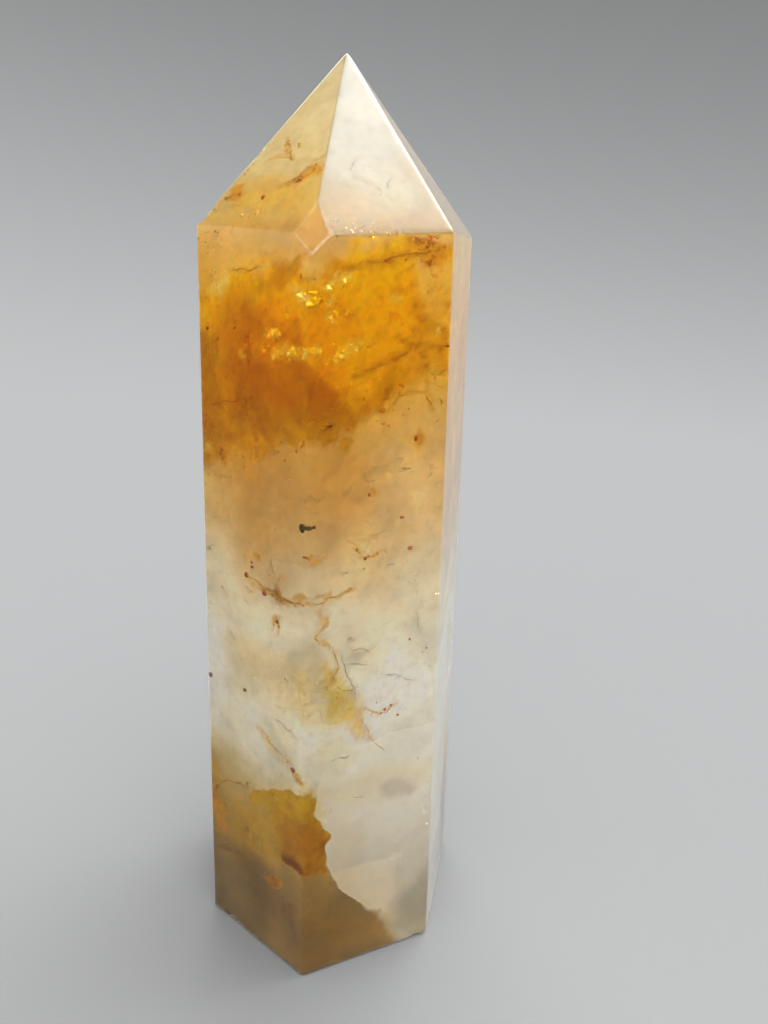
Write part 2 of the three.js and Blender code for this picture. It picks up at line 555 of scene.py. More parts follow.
# The skin's points moved by noise, so that what is painted on them wanders: far, further and only a little.
drifted = mist_shift(skin, 14.0, 3.0, seed=101)
stirred = mist_shift(drifted, 4.5, 0.8, seed=104)
nudged = mist_shift(mist_shift(skin, 6.0, 0.6, seed=107), 1.8, 0.25, seed=110)
tilted_height = drifted[:, 2] + 0.06 * drifted[:, 0]
tint = np.stack([np.interp(tilted_height, body_heights, channel) for channel in body_colours.T], axis=-1)


def stain(tint, share, colour):
    """The tint with a share of the colour in place of it, at each point."""
    return tint + (np.array(colour) - tint) * np.clip(share, 0, 1)[..., None]


def puff(face, across, up, wide, high, edge):
    """A cloud on a face, 1 in its middle and 0 outside: the distance out, as a share of its half width and
    half height, falls away over the edge. Its outline is nudged by cloudy noise."""
    deep = 5.0
    _, *axes = face_frame(face)
    out = nudged - spot(face, across, up, 0)
    reach = np.linalg.norm(out @ np.transpose(axes) / (wide, high, deep), axis=-1)
    return 1 - slope(reach, 1 - edge, 1 + edge)


def patch(rows, edge):
    """A patch on the front of the tower, 1 inside and 0 outside the outline that joins the places of the
    rows, as seen straight from the front: the distance in from the outline rises over the edge each way.
    It fades out round the sides towards the back."""
    start = spots(rows, 0)[:, [0, 2]]
    run = np.roll(start, -1, axis=0) - start
    out = nudged[:, None, [0, 2]] - start
    share = np.clip((out * run).sum(axis=-1) / (run ** 2).sum(axis=-1), 0, 1)
    distance = np.linalg.norm(out - share[..., None] * run, axis=-1).min(axis=-1)
    spans = (out[..., 1] < 0) != (out[..., 1] < run[:, 1])
    crossing = spans & (out[..., 0] < run[:, 0] * out[..., 1] / np.where(run[:, 1] == 0, 1, run[:, 1]))
    inside = crossing.sum(axis=-1) % 2 == 1
    return slope(np.where(inside, distance, -distance), -edge, edge) * slope(nudged[:, 1], 7.0, -3.0)


# Soft clouds on the faces: face, across, up, half width, half height, edge, colour, strength.
clouds = [
    ("left", 3.0, 64.0, 6.5, 6.0, 0.6, tan, 0.75),
    ("left", -4.5, 61.0, 3.8, 6.5, 0.6, (0.90, 0.69, 0.40), 0.8),
    ("point_left", 0.5, 94.0, 6.0, 2.6, 0.5, (1.0, 0.73, 0.27), 0.9),
    ("point_left", -3.5, 91.6, 5.0, 1.6, 0.5, (1.0, 0.82, 0.46), 0.7),
    ("left", 3.0, 89.0, 7.0, 2.0, 0.5, (0.98, 0.76, 0.46), 0.9),
    ("left", 0.2, 58.0, 3.0, 6.5, 0.6, (0.68, 0.47, 0.20), 0.7),
    ("left", 4.8, 55.0, 3.6, 4.4, 0.6, (0.68, 0.50, 0.26), 0.6),
    ("left", -8.0, 63.0, 1.8, 4.0, 0.5, (0.97, 0.80, 0.48), 0.7),
    ("left", -6.8, 51.0, 3.2, 6.0, 0.6, (1.0, 0.92, 0.74), 0.8),
    ("right", -4.5, 64.0, 3.4, 6.0, 0.6, (0.86, 0.62, 0.34), 0.7),
    ("right", 4.6, 65.5, 5.0, 8.5, 0.6, (0.98, 0.79, 0.54), 0.9),
    ("right", -2.0, 55.0, 4.0, 4.0, 0.6, (1.0, 0.80, 0.50), 0.5),
    ("right", 6.0, 53.0, 3.5, 5.0, 0.6, (1.0, 0.95, 0.80), 0.7),
    ("left", -6.8, 38.0, 2.2, 6.5, 0.4, water_clear, 1.0),
    ("left", -2.2, 40.5, 2.6, 4.6, 0.5, (0.86, 0.78, 0.56), 0.7),
    ("left", -3.2, 47.0, 3.0, 2.6, 0.5, (0.86, 0.80, 0.64), 0.6),
    ("left", -3.0, 30.5, 4.6, 3.0, 0.5, milk_white, 0.9),
    ("left", 4.6, 33.0, 3.0, 2.4, 0.5, (0.84, 0.80, 0.62), 0.5),
    ("right", 3.6, 46.5, 3.4, 1.2, 0.6, (0.90, 0.88, 0.80), 0.5),
    ("right", -1.6, 44.2, 1.9, 0.5, 0.5, smoke, 0.5),
    ("right", 3.4, 40.4, 3.0, 0.5, 0.5, water_clear, 1.0),
    ("right", -5.0, 31.5, 2.4, 3.0, 0.5, (0.90, 0.86, 0.70), 0.5),
    ("left", -8.4, 21.4, 1.0, 3.6, 0.5, amber, 0.7),
    ("left", -5.0, 13.0, 5.0, 4.0, 0.6, (0.50, 0.36, 0.14), 0.6),
    ("left", -5.5, 6.0, 4.5, 4.0, 0.6, (0.50, 0.41, 0.27), 0.7),
    ("left", 1.5, 7.5, 4.0, 3.6, 0.6, (0.36, 0.26, 0.14), 0.5),
    ("far_right", 0.0, 84.0, 9.0, 14.0, 0.6, (1.0, 0.80, 0.30), 0.95),
    ("right_back", 1.0, 20.0, 6.0, 5.0, 0.4, amber, 0.6),
    ("left_back", -2.0, 34.0, 5.0, 4.0, 0.5, tan, 0.6),
    ("left_back", 3.0, 16.0, 4.0, 4.0, 0.4, ochre_brown, 0.6),
    ("far_left", 1.0, 24.0, 4.0, 6.0, 0.5, (0.80, 0.58, 0.2), 0.5),
]
for face, across, up, wide, high, edge, colour, strength in clouds:
    tint = stain(tint, strength * puff(face, across, up, wide, high, edge), colour)

# Patches with an outline on the front faces: edge, colour, strength and corners.
patches = [
    (1.6, (0.88, 0.77, 0.54), 0.8, on(
        "left", -5.2, 42.4, -0.4, 44.3, 3.6, 44.5, 8.3, 46.7,
        "right", -7.3, 47.1, -5.8, 45.5, -4.5, 41.1, -2.4, 37.5, -5.7, 36.0,
        "left", 6.6, 36.6, 2.3, 37.6, -2.3, 38.9)),
    (1.5, (0.46, 0.32, 0.13), 0.9, on(
        "right", -5.3, 13.2, -2.6, 9.9, 0.7, 7.1, 3.4, 4.0, 6.3, 0.6, -0.2, 1.7, -5.2, 2.7, -8.0, 5.9,
        "left", 7.5, 9.0, 8.0, 13.2)),
    (1.4, (0.66, 0.44, 0.09), 0.8, on(
        "left", -9.0, 18.0, -3.9, 19.9, -0.8, 21.8, 3.5, 22.7, 5.4, 17.2, 3.4, 14.1, -4.1, 13.2,
        -9.0, 13.0)),
]
for edge, colour, strength, rows in patches:
    tint = stain(tint, strength * patch(rows, edge), colour)

# The milky lobe at the right front stands sharp against the golden patch and soft against the brown base,
# and is greyer towards its foot.
lobe_rows = on(
    "right", -7.2, 27.4, -5.8, 30.5, -3.5, 33.0, 14.0, 33.0, 14.0, -1.0, 6.1, -1.0, 5.3, 0.9, 3.4, 3.2,
    1.9, 5.5, -0.4, 7.3, -2.2, 9.2, -4.3, 13.0, -5.6, 16.1, -6.1, 18.5, -5.7, 19.9, -6.5, 22.3, -7.4, 25.0)
lobe_fade = (10.5, 4.5)
near_foot = slope(nudged[:, 2], *lobe_fade)
lobe_share = patch(lobe_rows, 0.8) * (1 - near_foot) + patch(lobe_rows, 2.2) * near_foot
lobe = stain(np.ones((len(skin), 3)) * (1.0, 0.985, 0.95), slope(nudged[:, 2], 22.0, 30.0), tint)
grey_foot = on("right", 2.0, 4.0, 5.1, 7.2, 8.6, 11.5, 14.0, 10.0, 14.0, -2.0, 3.0, -2.0)
grey_puff = on("right", 1.0, 25.8, 3.5, 26.4, 6.1, 23.8, 5.1, 23.0, 2.2, 23.6, 1.0, 24.3)
lobe = stain(lobe, 0.9 * patch(grey_foot, 1.6), (0.73, 0.73, 0.69))
lobe = stain(lobe, 0.7 * patch(grey_puff, 0.6), (0.74, 0.69, 0.63))
lobe = stain(lobe, 0.5 * puff("right", -3.5, 17.0, 2.6, 5.0, 0.6), (0.90, 0.84, 0.76))

# Fine cracks: rusty ones, which also stain the stone beside them, and grey ones.
rusty_paths = [
    on("right", 7.7, 79.1, 5.3, 79.2, 2.7, 79.5, 1.4, 80.2),
    on("right", 2.7, 79.5, 3.8, 78.8, 4.8, 78.3),
    on("right", 3.0, 79.0, 2.3, 78.6, 0.8, 77.7, -0.6, 77.4, -1.5, 76.8, -3.4, 76.2),
    on("right", 5.0, 77.1, 5.2, 75.8, 5.2, 74.5, 3.3, 74.2, 1.7, 73.9, 0.5, 72.4, -1.5, 72.3),
    on("right", 7.7, 76.9, 6.4, 76.2, 5.3, 76.7),
    on("right", 5.2, 74.5, 5.6, 73.2, 6.2, 72.3),
    on("right", 5.7, 89.0, 4.2, 88.6, 1.9, 88.2, 0.2, 87.8, -1.5, 87.6, -4.7, 86.7),
    on("right", 2.4, 90.0, 3.5, 89.9, 4.4, 90.2, 5.0, 89.4, 4.0, 88.9),
    on("left", -2.8, 76.4, -2.1, 75.2, -1.8, 73.7, -1.7, 72.6),
    on("left", -8.4, 71.3, -5.9, 71.9, -2.9, 72.2, -0.1, 72.7),
    on("point_left", 5.1, 98.1, 3.8, 97.6, 3.2, 96.6, 2.6, 95.6, 0.2, 95.0),
    on("far_right", -5.0, 89.0, -4.4, 84.0, -4.8, 79.0),
    on("left", -3.2, 86.4, 0.1, 86.5, 2.2, 86.8),
    on("point_left", -2.1, 99.8, -1.2, 98.9, 0.6, 97.7),
    on("point_left", -3.3, 98.0, -1.4, 98.5, 0.6, 97.7),
    on("left", -0.9, 51.7, 0.7, 51.5, 2.4, 51.0, 3.9, 51.2, 5.4, 50.8, 7.4, 50.9, 9.0, 51.4),
    on("left", 0.2, 51.2, 3.3, 51.1),
    on("right", -8.0, 51.2, -6.9, 51.0, -6.3, 51.7, -5.1, 51.6, -4.1, 52.2, -3.0, 52.5),
    on("left", 4.4, 48.3, 4.7, 46.4),
    on("right", -6.0, 49.6, -6.3, 48.5, -7.6, 47.3, -7.0, 46.8, -5.9, 46.0, -5.1, 45.1),
    on("right", -5.2, 45.1, -4.8, 43.0, -5.4, 41.2),
    on("right", -1.8, 36.2, -1.1, 34.4, -0.1, 32.4, 1.8, 30.3),
    on("left", 1.5, 32.5, 3.5, 31.0, 6.6, 30.3),
    on("left", 6.9, 29.6, 7.3, 28.6, 8.6, 28.4),
    on("left", -8.5, 19.8, -5.9, 21.6, -2.8, 23.0, -1.3, 22.4, -1.0, 21.5),
    on("right", 0.4, 36.1, 1.5, 36.2, 2.1, 36.5, 3.1, 36.8),
    on("right", -1.2, 37.1, -0.2, 35.9, 0.8, 35.8),
    on("right", -3.0, 57.6, -2.2, 56.7),
    on("right", -2.3, 56.0, -1.1, 56.0, 0.1, 56.6),
    on("left_back", -6.0, 76.0, -1.0, 78.5, 5.0, 77.6),
    on("left_back", -4.0, 84.0, 1.0, 82.6, 3.0, 84.4),
    on("right_back", -6.5, 79.5, -1.5, 77.0, 2.0, 78.0, 6.0, 76.4),
    on("far_left", -3.5, 80.0, 1.0, 77.4, 5.2, 78.0),
    on("far_right", -5.0, 82.0, -0.5, 80.2, 3.6, 81.6),
    on("far_right", -4.0, 70.0, 0.0, 72.0, 3.0, 70.4),
    on("left_back", -5.0, 50.0, -1.0, 48.4, 4.0, 50.2),
    on("right_back", -4.0, 44.0, 0.0, 46.4, 2.0, 50.0),
    on("far_left", -4.0, 40.0, 0.0, 37.0, 1.0, 33.0),
]
grey_paths = [
    on("point_right", -0.2, 98.3, -1.3, 97.5, -2.0, 97.0),
    on("point_right", -2.0, 97.0, -1.5, 96.2, -0.8, 95.6, 0.3, 95.3, 0.7, 94.8, 0.3, 94.3),
    on("point_right", 2.5, 96.0, 1.9, 95.2, 1.5, 94.6),
    on("point_right", 3.3, 95.7, 4.6, 96.4),
    on("right", -4.5, 44.9, -3.7, 42.6, -2.9, 40.4, -2.4, 38.5),
    on("right", -4.4, 63.5, -3.7, 64.1, -2.7, 64.3),
    on("right", -4.7, 54.5, -3.8, 54.7),
    on("right", 1.0, 54.5, 1.9, 54.9),
    on("right", -3.5, 46.2, -3.0, 46.4, -2.4, 46.0),
    on("right", -3.0, 44.6, -1.7, 44.8, -0.3, 43.8),
    on("right", -3.9, 43.3, -2.6, 43.0, -0.2, 42.7),
    on("right", 0.8, 41.0, 3.0, 40.4, 5.4, 39.4),
    on("right", 5.1, 48.3, 5.4, 46.7, 5.7, 46.0),
    on("right", -5.3, 30.6, -4.3, 30.7, -3.0, 31.0),
    on("right", -2.5, 25.0, -1.1, 24.5),
    on("left", -4.4, 44.0, -3.0, 43.0),
    on("left", 4.0, 35.0, 6.5, 34.6, 8.2, 33.2),
    on("right", 5.5, 5.9, 6.9, 7.0, 8.4, 8.2),
]


def near_paths(paths, points, width):
    """1 on the paths and fading away from them like a bell curve of this width, by each point's distance
    from the nearest stretch of a path."""
    nearest = np.full(len(points), np.inf)
    for rows in paths:
        line = spots(rows, 0.0)
        for start, run in zip(line, np.diff(line, axis=0)):
            share = np.clip((points - start) @ run / (run @ run), 0, 1)
            nearest = np.minimum(nearest, np.linalg.norm(points - start - share[:, None] * run, axis=1))
    return np.exp(-(nearest / width) ** 2)


def on_plane(plane):
    """1 on a ground face and 0 off it: an S-shaped rise over the last part of the way to its plane."""
    normal, reach = plane
    furthest, nearest = -0.25, -0.05
    return slope(skin @ normal - reach, furthest, nearest)


# The right front facet of the point carries a painted sheen: pale bluish grey at its top stands in for the
# reflection of the light above, and it is warm only along its foot, with greyer patches.
painted_sheen_facet = on_plane(facet_plane["right"])
# Painted shade: a darker peach on the left face just under the worn front corner.
tint = stain(tint, 0.8 * puff("left", 9.4, 90.2, 4.0, 3.2, 0.5), (0.88, 0.66, 0.40))
tint = stain(tint, painted_sheen_facet, (0.62, 0.475, 0.20))
tint = stain(tint, painted_sheen_facet * slope(stirred[:, 2], 90.0, 98.0), painted_sheen_grey)
tint = stain(tint, 0.6 * painted_sheen_facet * puff("point_right", -4.0, 93.2, 2.6, 2.6, 0.6), (0.71, 0.65, 0.52))
tint = stain(tint, 0.6 * painted_sheen_facet * puff("point_right", 1.6, 95.0, 2.4, 3.4, 0.6), (0.73, 0.73, 0.66))
# Painted shade: the other facets of the point are tinted darker and warmer, where the light above falls full
# on them.
for name, colour in [
    ("far_right", (0.72, 0.58, 0.34)), ("right_back", (0.84, 0.72, 0.48)), ("left_back", (0.80, 0.68, 0.46)),
    ("far_left", (0.88, 0.72, 0.42)),
]:
    tint = stain(tint, 0.7 * on_plane(facet_plane[name]), colour)
ground_planes = [*side_plane.values(), *facet_plane.values()]
under_planes = np.min([reach - skin @ normal for normal, reach in ground_planes], axis=0)
# Painted shade: the worn front corner is tinted darker and more golden, where its polish would mirror the
# bright light above.
from_front_corner = np.linalg.norm(skin - spot("left", 9.4, 90.6, 0), axis=1)
on_worn_corner = slope(under_planes, 0.05, 0.2) * slope(from_front_corner, 6.5, 5.5)
tint = stain(tint, on_worn_corner, (0.88, 0.62, 0.20))
# A faint painted shadow beside the grey cracks, greying the stone next to them.
tint = stain(tint, 0.3 * near_paths(grey_paths, skin, 0.24), (0.60, 0.54, 0.44))

# Mottling everywhere, from wisps a few millimetres long down to grains.
tint_change, lobe_change, iron_change = 0.10, 0.05, 0.08
warm_change = np.array([0.0, 0.02, 0.05])
wisps = mist(drifted, 5.5, seed=120, fade=0.5)
tint = tint * np.clip(1 + tint_change * wisps, 0.3, 1.35)[:, None]
warmth = mist(stirred, 9.0, seed=130, octaves=4)
tint = tint * np.clip(1 + warm_change * warmth[:, None], 0.5, 1.5)
broken = slope(scoop_depth(skin), -0.08, 0.0)
tint = np.clip(stain(tint, broken, (0.80, 0.74, 0.62)), 0.0, 1.0)
lobe = np.clip(lobe * (1 + lobe_change * wisps)[:, None], 0.0, 1.0)

# The iron stain has ragged edges, and a colour and a share at each point. First is the golden band, between
# a lower edge that climbs to the right and a nearly level upper one.
floor_line = np.interp(
    nudged[:, 0], [-16, -10.8, -7.6, -5.5, -0.2, 2.2, 4.4, 7.2, 10.1, 14, 18],
    [64.2, 65.7, 66.4, 68.4, 69.0, 69.3, 72.1, 73.6, 76.2, 77.0, 79.0])
roof_line = np.interp(
    nudged[:, 0], [-16, -13, -12.4, -7.7, -3.4, -1.5, 0.1, 1.7, 6.4, 16],
    [84.2, 84.9, 86.6, 86.9, 87.9, 87.2, 87.3, 89.2, 90.6, 90.8])
over_floor = nudged[:, 2] - floor_line + 0.5 * mist(stirred, 5.0, seed=131, octaves=3)
under_roof = roof_line - nudged[:, 2] + 0.8 * mist(stirred, 4.0, seed=132, octaves=3)
iron_share = slope(over_floor, -2.2, 2.0) * slope(under_roof, -1.6, 1.8)
iron_softness = 0.75 * slope(iron_share, 0.0, 0.3)
band_tone = mist(drifted, 6.0, seed=110)
iron_and_glints = stain(np.tile(gold, (len(skin), 1)), slope(band_tone, -0.1, -1.0), amber)
iron_and_glints = stain(iron_and_glints, slope(band_tone, 0.4, 1.2), honey)
iron_and_glints = stain(iron_and_glints, slope(over_floor, 6.0, 0.5) * 0.55, ochre_brown)

# Then patches in and round it: edge, colour, colour's strength, the least share of iron, and corners.
iron_patches = [
    (3.0, burnt, 0.7, 0.0, on(
        "left", -4.4, 84.0, 1.5, 84.4, 3.2, 81.0, 1.0, 79.0, 3.0, 77.0, 8.0, 77.2,
        "right", -6.4, 76.4, -5.6, 71.8, "left", 6.0, 69.8, -3.4, 69.0, -5.3, 75.5)),
    (1.2, olive, 0.7, 0.0, on("left", -10.0, 80.5, -4.4, 79.5, -4.8, 67.3, -10.0, 66.3)),
    (1.3, (1.0, 0.75, 0.44), 0.9, 0.0, on(
        "right", 2.9, 88.0, 5.0, 88.0, 14.0, 88.3, 14.0, 80.6, 5.4, 80.9, 3.3, 82.4, 2.5, 85.4)),
    (1.5, (0.94, 0.62, 0.16), 0.7, 0.0, on("right", 2.0, 80.0, 14.0, 80.0, 14.0, 72.0, 2.0, 73.5)),
    (0.8, (1.0, 0.80, 0.58), 0.9, 0.0, on(
        "left", 9.1, 87.3, "right", -7.1, 88.0, -6.0, 86.8, -7.1, 85.3, "left", 9.4, 85.4)),
    (0.8, (1.0, 0.86, 0.60), 0.9, 0.0, on(
        "left", -7.0, 87.6, -4.0, 87.4, -3.5, 85.1, -5.0, 83.6, -6.9, 84.4)),
    # The next four patches lighten the stain over open cracks: partly clearer skin, partly painted glint.
    (0.5, (1.0, 0.92, 0.62), 0.9, 0.0, on("left", 7.8, 84.4, 8.9, 84.3, 8.9, 83.2, 8.3, 83.3)),
    (0.6, (1.0, 0.82, 0.16), 0.7, 0.0, on(
        "left", 2.6, 78.2, 6.6, 79.4, "right", -7.4, 79.2, -7.6, 77.8, "left", 5.8, 77.6)),
    (0.6, (1.0, 0.80, 0.12), 0.7, 0.0, on("right", -5.4, 77.6, -3.4, 78.2, -2.2, 79.8, -3.6, 79.6)),
    (0.6, (1.0, 0.82, 0.16), 0.7, 0.0, on("right", -7.0, 84.4, -5.6, 85.0, -4.0, 86.4, -5.6, 86.0)),
    (0.9, (1.0, 0.76, 0.24), 1.0, 0.85, on(
        "point_left", -7.6, 93.4, -5.1, 94.3, -1.0, 93.3, 0.2, 94.7, 2.8, 95.6, 3.6, 96.7,
        "point_right", -4.0, 98.4, -5.0, 95.6, "point_left", 3.9, 94.5, 1.5, 92.8, -0.6, 91.5, -4.1, 91.6)),
    (0.7, (0.96, 0.62, 0.12), 1.0, 0.8, on(
        "point_left", 1.9, 95.4, 3.6, 96.7, "point_right", -4.0, 98.2, -4.4, 97.0,
        "point_left", 4.5, 95.8, 3.1, 95.0)),
    (0.5, (0.94, 0.54, 0.04), 1.0, 0.9, on(
        "point_left", -7.6, 93.8, -6.3, 94.5, -4.5, 94.7, -4.7, 94.2, -5.7, 93.5)),
    (0.5, (0.92, 0.60, 0.14), 1.0, 0.85, on(
        "point_left", -2.8, 100.0, -2.0, 100.2, -0.9, 99.0, -1.5, 98.8)),
    (0.7, (0.86, 0.46, 0.01), 0.8, 0.75, on(
        "right", 1.8, 90.0, 3.8, 90.4, 5.8, 90.2, 6.8, 89.4, 5.4, 88.0, 3.9, 87.5, 3.0, 88.8, 1.6, 88.9)),
    (0.6, (0.92, 0.54, 0.01), 0.8, 0.8, on(
        "right", -2.8, 88.1, -0.4, 88.4, 1.6, 88.8, 3.0, 88.9, 1.9, 88.0, -2.0, 87.5)),
    (0.6, (0.72, 0.46, 0.01), 0.9, 0.9, on("left", 4.9, 68.8, 6.4, 70.0, 7.9, 69.9, 7.9, 68.5, 5.6, 68.0)),
    (0.6, (0.72, 0.46, 0.01), 0.9, 0.9, on(
        "left", 8.8, 70.3, "right", -7.2, 70.9, -5.5, 70.5, -5.2, 68.9, -7.7, 68.8)),
    (0.7, (0.82, 0.54, 0.08), 0.9, 0.8, on(
        "right", -5.4, 69.6, -3.8, 69.9, -3.0, 68.6, -4.2, 67.3, -5.2, 67.8)),
    (0.8, (0.74, 0.48, 0.05), 0.9, 0.8, on("left", -0.8, 67.3, 2.6, 68.1, 4.2, 67.9, 2.8, 66.0, 0.1, 65.7)),
    (1.4, (0.84, 0.58, 0.14), 0.9, 0.5, on(
        "left", -4.8, 66.2, -1.7, 67.1, 2.6, 66.4, 1.3, 64.0, -2.6, 62.4, -4.8, 63.0)),
    (0.9, (1.0, 0.78, 0.40), 1.0, 0.6, on(
        "right", 2.4, 69.4, 4.1, 70.8, 5.9, 69.6, 5.4, 68.0, 4.0, 67.4, 2.6, 68.2)),
    (0.4, (0.78, 0.42, 0.04), 1.0, 0.9, on("right", 3.3, 69.4, 4.1, 69.9, 5.0, 69.3, 4.6, 68.7, 3.7, 68.7)),
    (0.5, (0.78, 0.50, 0.10), 1.0, 0.85, on("right", -2.0, 63.4, -1.4, 63.9, -0.7, 63.4, -1.3, 62.7)),
    (1.4, (0.78, 0.54, 0.20), 1.0, 0.6, on(
        "left", 1.8, 52.9, 4.1, 54.2, 6.6, 54.6, 6.6, 53.0, 4.5, 52.0, 2.4, 51.8)),
    (1.4, (0.86, 0.62, 0.18), 1.0, 0.6, on("left", -1.5, 55.3, 0.3, 55.6, 2.0, 55.7, 1.6, 54.3, 0.0, 53.7)),
    (0.9, (0.78, 0.54, 0.14), 1.0, 0.8, on(
        "left", -0.9, 52.1, 0.8, 51.8, 2.6, 51.4, 4.9, 51.4, 6.6, 51.2, 9.0, 51.8,
        "right", -6.9, 51.5, -6.0, 52.0, -4.6, 52.4, -4.8, 51.4, -6.2, 51.0, -7.0, 50.6,
        "left", 8.6, 50.6, 6.4, 50.3, 4.4, 50.3, 2.4, 50.6, 0.6, 51.0)),
    (0.8, (0.60, 0.36, 0.06), 1.0, 0.95, on("left", 3.0, 51.4, 4.2, 52.3, 5.1, 51.2, 4.5, 50.1, 3.2, 50.5)),
    (0.9, (0.76, 0.48, 0.08), 1.0, 0.9, on("left", 3.8, 48.5, 4.9, 48.8, 5.0, 47.6, 4.6, 46.2, 4.0, 47.4)),
    (1.1, (0.86, 0.56, 0.12), 1.0, 0.85, on(
        "left", 8.0, 56.5, "right", -7.7, 57.5, -5.4, 57.8, -7.1, 56.5, "left", 9.2, 56.1)),
    (1.0, (0.90, 0.70, 0.30), 1.0, 0.8, on(
        "right", -6.4, 50.0, -5.5, 49.6, -6.0, 48.1, -6.9, 46.8, -8.0, 47.1, -6.9, 48.4)),
    (1.6, (0.88, 0.70, 0.34), 1.0, 0.75, on(
        "left", 6.3, 42.4, 7.9, 43.3, 9.2, 42.6, "right", -8.2, 40.3, "left", 8.3, 36.9, 6.4, 39.2)),
    (1.3, (0.88, 0.70, 0.28), 1.0, 0.75, on(
        "right", -7.2, 43.6, -5.7, 44.0, -4.6, 41.7, -3.5, 39.6, -2.7, 38.8, -1.2, 36.6, -0.4, 33.0,
        -2.6, 34.0, -4.9, 35.9, -5.9, 38.1, -7.2, 40.3)),
    (0.5, (0.84, 0.62, 0.16), 0.9, 0.0, on(
        "right", -4.6, 40.4, -2.7, 38.6, -1.3, 36.4, -0.7, 34.0, -2.4, 35.6, -4.4, 37.6)),
    (1.0, (0.92, 0.70, 0.30), 1.0, 0.8, on("left", 0.4, 32.8, 2.0, 33.0, 2.4, 31.6, 1.0, 31.3)),
    (1.1, (0.92, 0.74, 0.42), 1.0, 0.7, on(
        "left", 2.2, 32.4, 4.0, 31.6, 6.4, 30.9, 6.6, 29.8, 4.0, 30.2, 2.0, 31.2)),
    (0.9, (0.84, 0.58, 0.12), 1.0, 0.9, on(
        "left", 6.4, 29.9, 7.6, 30.1, 7.6, 28.9, 8.8, 28.6, 8.4, 27.6, 6.6, 28.2)),
    (0.8, (0.94, 0.80, 0.44), 1.0, 0.7, on(
        "left", 7.6, 28.6, "right", -7.6, 27.4, -7.4, 24.6, -8.6, 25.8, "left", 7.0, 27.2)),
    (0.5, (0.78, 0.44, 0.03), 1.0, 0.9, on(
        "left", -9.2, 20.8, -7.6, 19.8, -6.2, 18.0, -7.0, 16.4, -6.0, 14.6, -9.0, 14.2)),
    (0.6, (0.62, 0.34, 0.05), 1.0, 0.8, on(
        "left", -2.9, 16.3, -0.9, 17.5, 0.8, 17.1, -0.1, 15.5, -1.8, 14.8)),
    (0.5, (0.54, 0.31, 0.04), 1.0, 0.9, on("left", 1.0, 11.2, 3.8, 13.2, 4.3, 11.5, 2.9, 10.6)),
    (2.0, (0.70, 0.47, 0.06), 0.9, 0.6, on(
        "left", -6.0, 18.6, -0.8, 21.8, 4.0, 24.0, 5.0, 18.0, 3.0, 15.0, -5.0, 15.0)),
    (0.4, (0.74, 0.47, 0.02), 1.0, 1.0, on(
        "left", -0.8, 21.4, 2.1, 24.5, 4.2, 26.2, 6.6, 26.7,
        "right", -8.0, 26.5, -6.6, 25.3, -5.9, 22.0, -5.0, 19.8, -5.0, 18.4, -4.6, 16.0, -6.2, 14.6,
        "left", 8.5, 15.0, 5.5, 15.5, 4.6, 16.9, 3.9, 19.3, 2.5, 21.0)),
    (2.0, (0.62, 0.31, 0.005), 1.0, 0.0, on(
        "left", 4.8, 19.0, 7.2, 22.8, "right", -7.7, 22.9, -6.0, 20.0, -5.2, 18.8, -5.2, 13.2,
        "left", 8.0, 13.1, 5.4, 14.2)),
    (0.3, (0.34, 0.12, 0.003), 1.0, 0.9, on("left", 5.6, 16.2, 7.0, 16.3, 8.4, 16.3, 8.9, 15.4, 7.0, 15.2)),
    (0.6, (0.42, 0.17, 0.003), 0.6, 0.0, on("right", -7.0, 19.6, -6.0, 20.0, -5.6, 18.2, -7.1, 17.0)),
]
narrowest_rise = 0.8  # a sharper edge is made in the material, because the mesh is too coarse for it
sharpest_edge = 0.3
softest_edge = 1.5
for edge, colour, strength, least, rows in iron_patches:
    share = patch(rows, max(edge, narrowest_rise))
    iron_and_glints = stain(iron_and_glints, strength * slope(share, 0.0, 0.6 if least else 1.0), colour)
    gains = slope(least * share - iron_share, -0.05, 0.05) * (share > 0)
    softness = np.clip((edge - sharpest_edge) / (softest_edge - sharpest_edge), 0, 1)
    iron_softness += (softness - iron_softness) * gains
    iron_share = np.maximum(iron_share, least * share)
halo = near_paths(rusty_paths, skin, 0.32)
in_pale = slope(iron_share, 0.7, 0.2)
iron_and_glints = stain(iron_and_glints, halo * (1 - in_pale) * 0.75, (0.64, 0.36, 0.01))
iron_and_glints = stain(iron_and_glints, halo * in_pale, (0.86, 0.64, 0.22))
iron_softness = np.maximum(iron_softness, near_paths(rusty_paths, skin, 0.7) * in_pale)
iron_share = np.maximum(iron_share, 0.62 * near_paths(rusty_paths, skin, 0.36))

# Open cracks in the band stand close under the skin. The skin over them is painted pale: partly a clearer
# window onto the foil below, partly a painted glint.
painted_glint_paths = [
    on("left", 7.7, 84.1, 9.0, 83.7),
    on("right", -6.6, 84.8, -5.6, 86.1),
    on("right", -4.8, 85.6, -4.2, 86.3),
    on("right", -6.2, 83.3, -6.0, 84.0),
    on("left", 2.2, 79.8, 4.3, 80.4),
    on("left", 3.7, 77.8, 6.1, 79.1),
    on("left", 6.4, 78.5, 9.4, 78.4),
    on("right", -5.3, 78.0, -2.7, 79.5),
    on("right", -4.6, 78.9, -3.5, 79.7),
    on("right", 0.6, 84.2, 1.5, 84.0),
    on("left", 2.0, 86.8, 3.2, 86.9),
    on("left", -1.2, 77.7, -0.7, 77.4),
    on("right", -6.3, 82.3, -6.0, 81.7),
    on("right", -7.7, 79.4, -7.5, 78.9),
    on("right", 6.1, 80.5, 6.3, 80.9),
    on("left", -7.7, 66.3, -7.2, 66.5),
]
flash = near_paths(painted_glint_paths, mist_shift(skin, 0.8, 0.15, seed=160), 0.3)
iron_and_glints = stain(iron_and_glints, 0.85 * flash, (1.0, 0.95, 0.66))
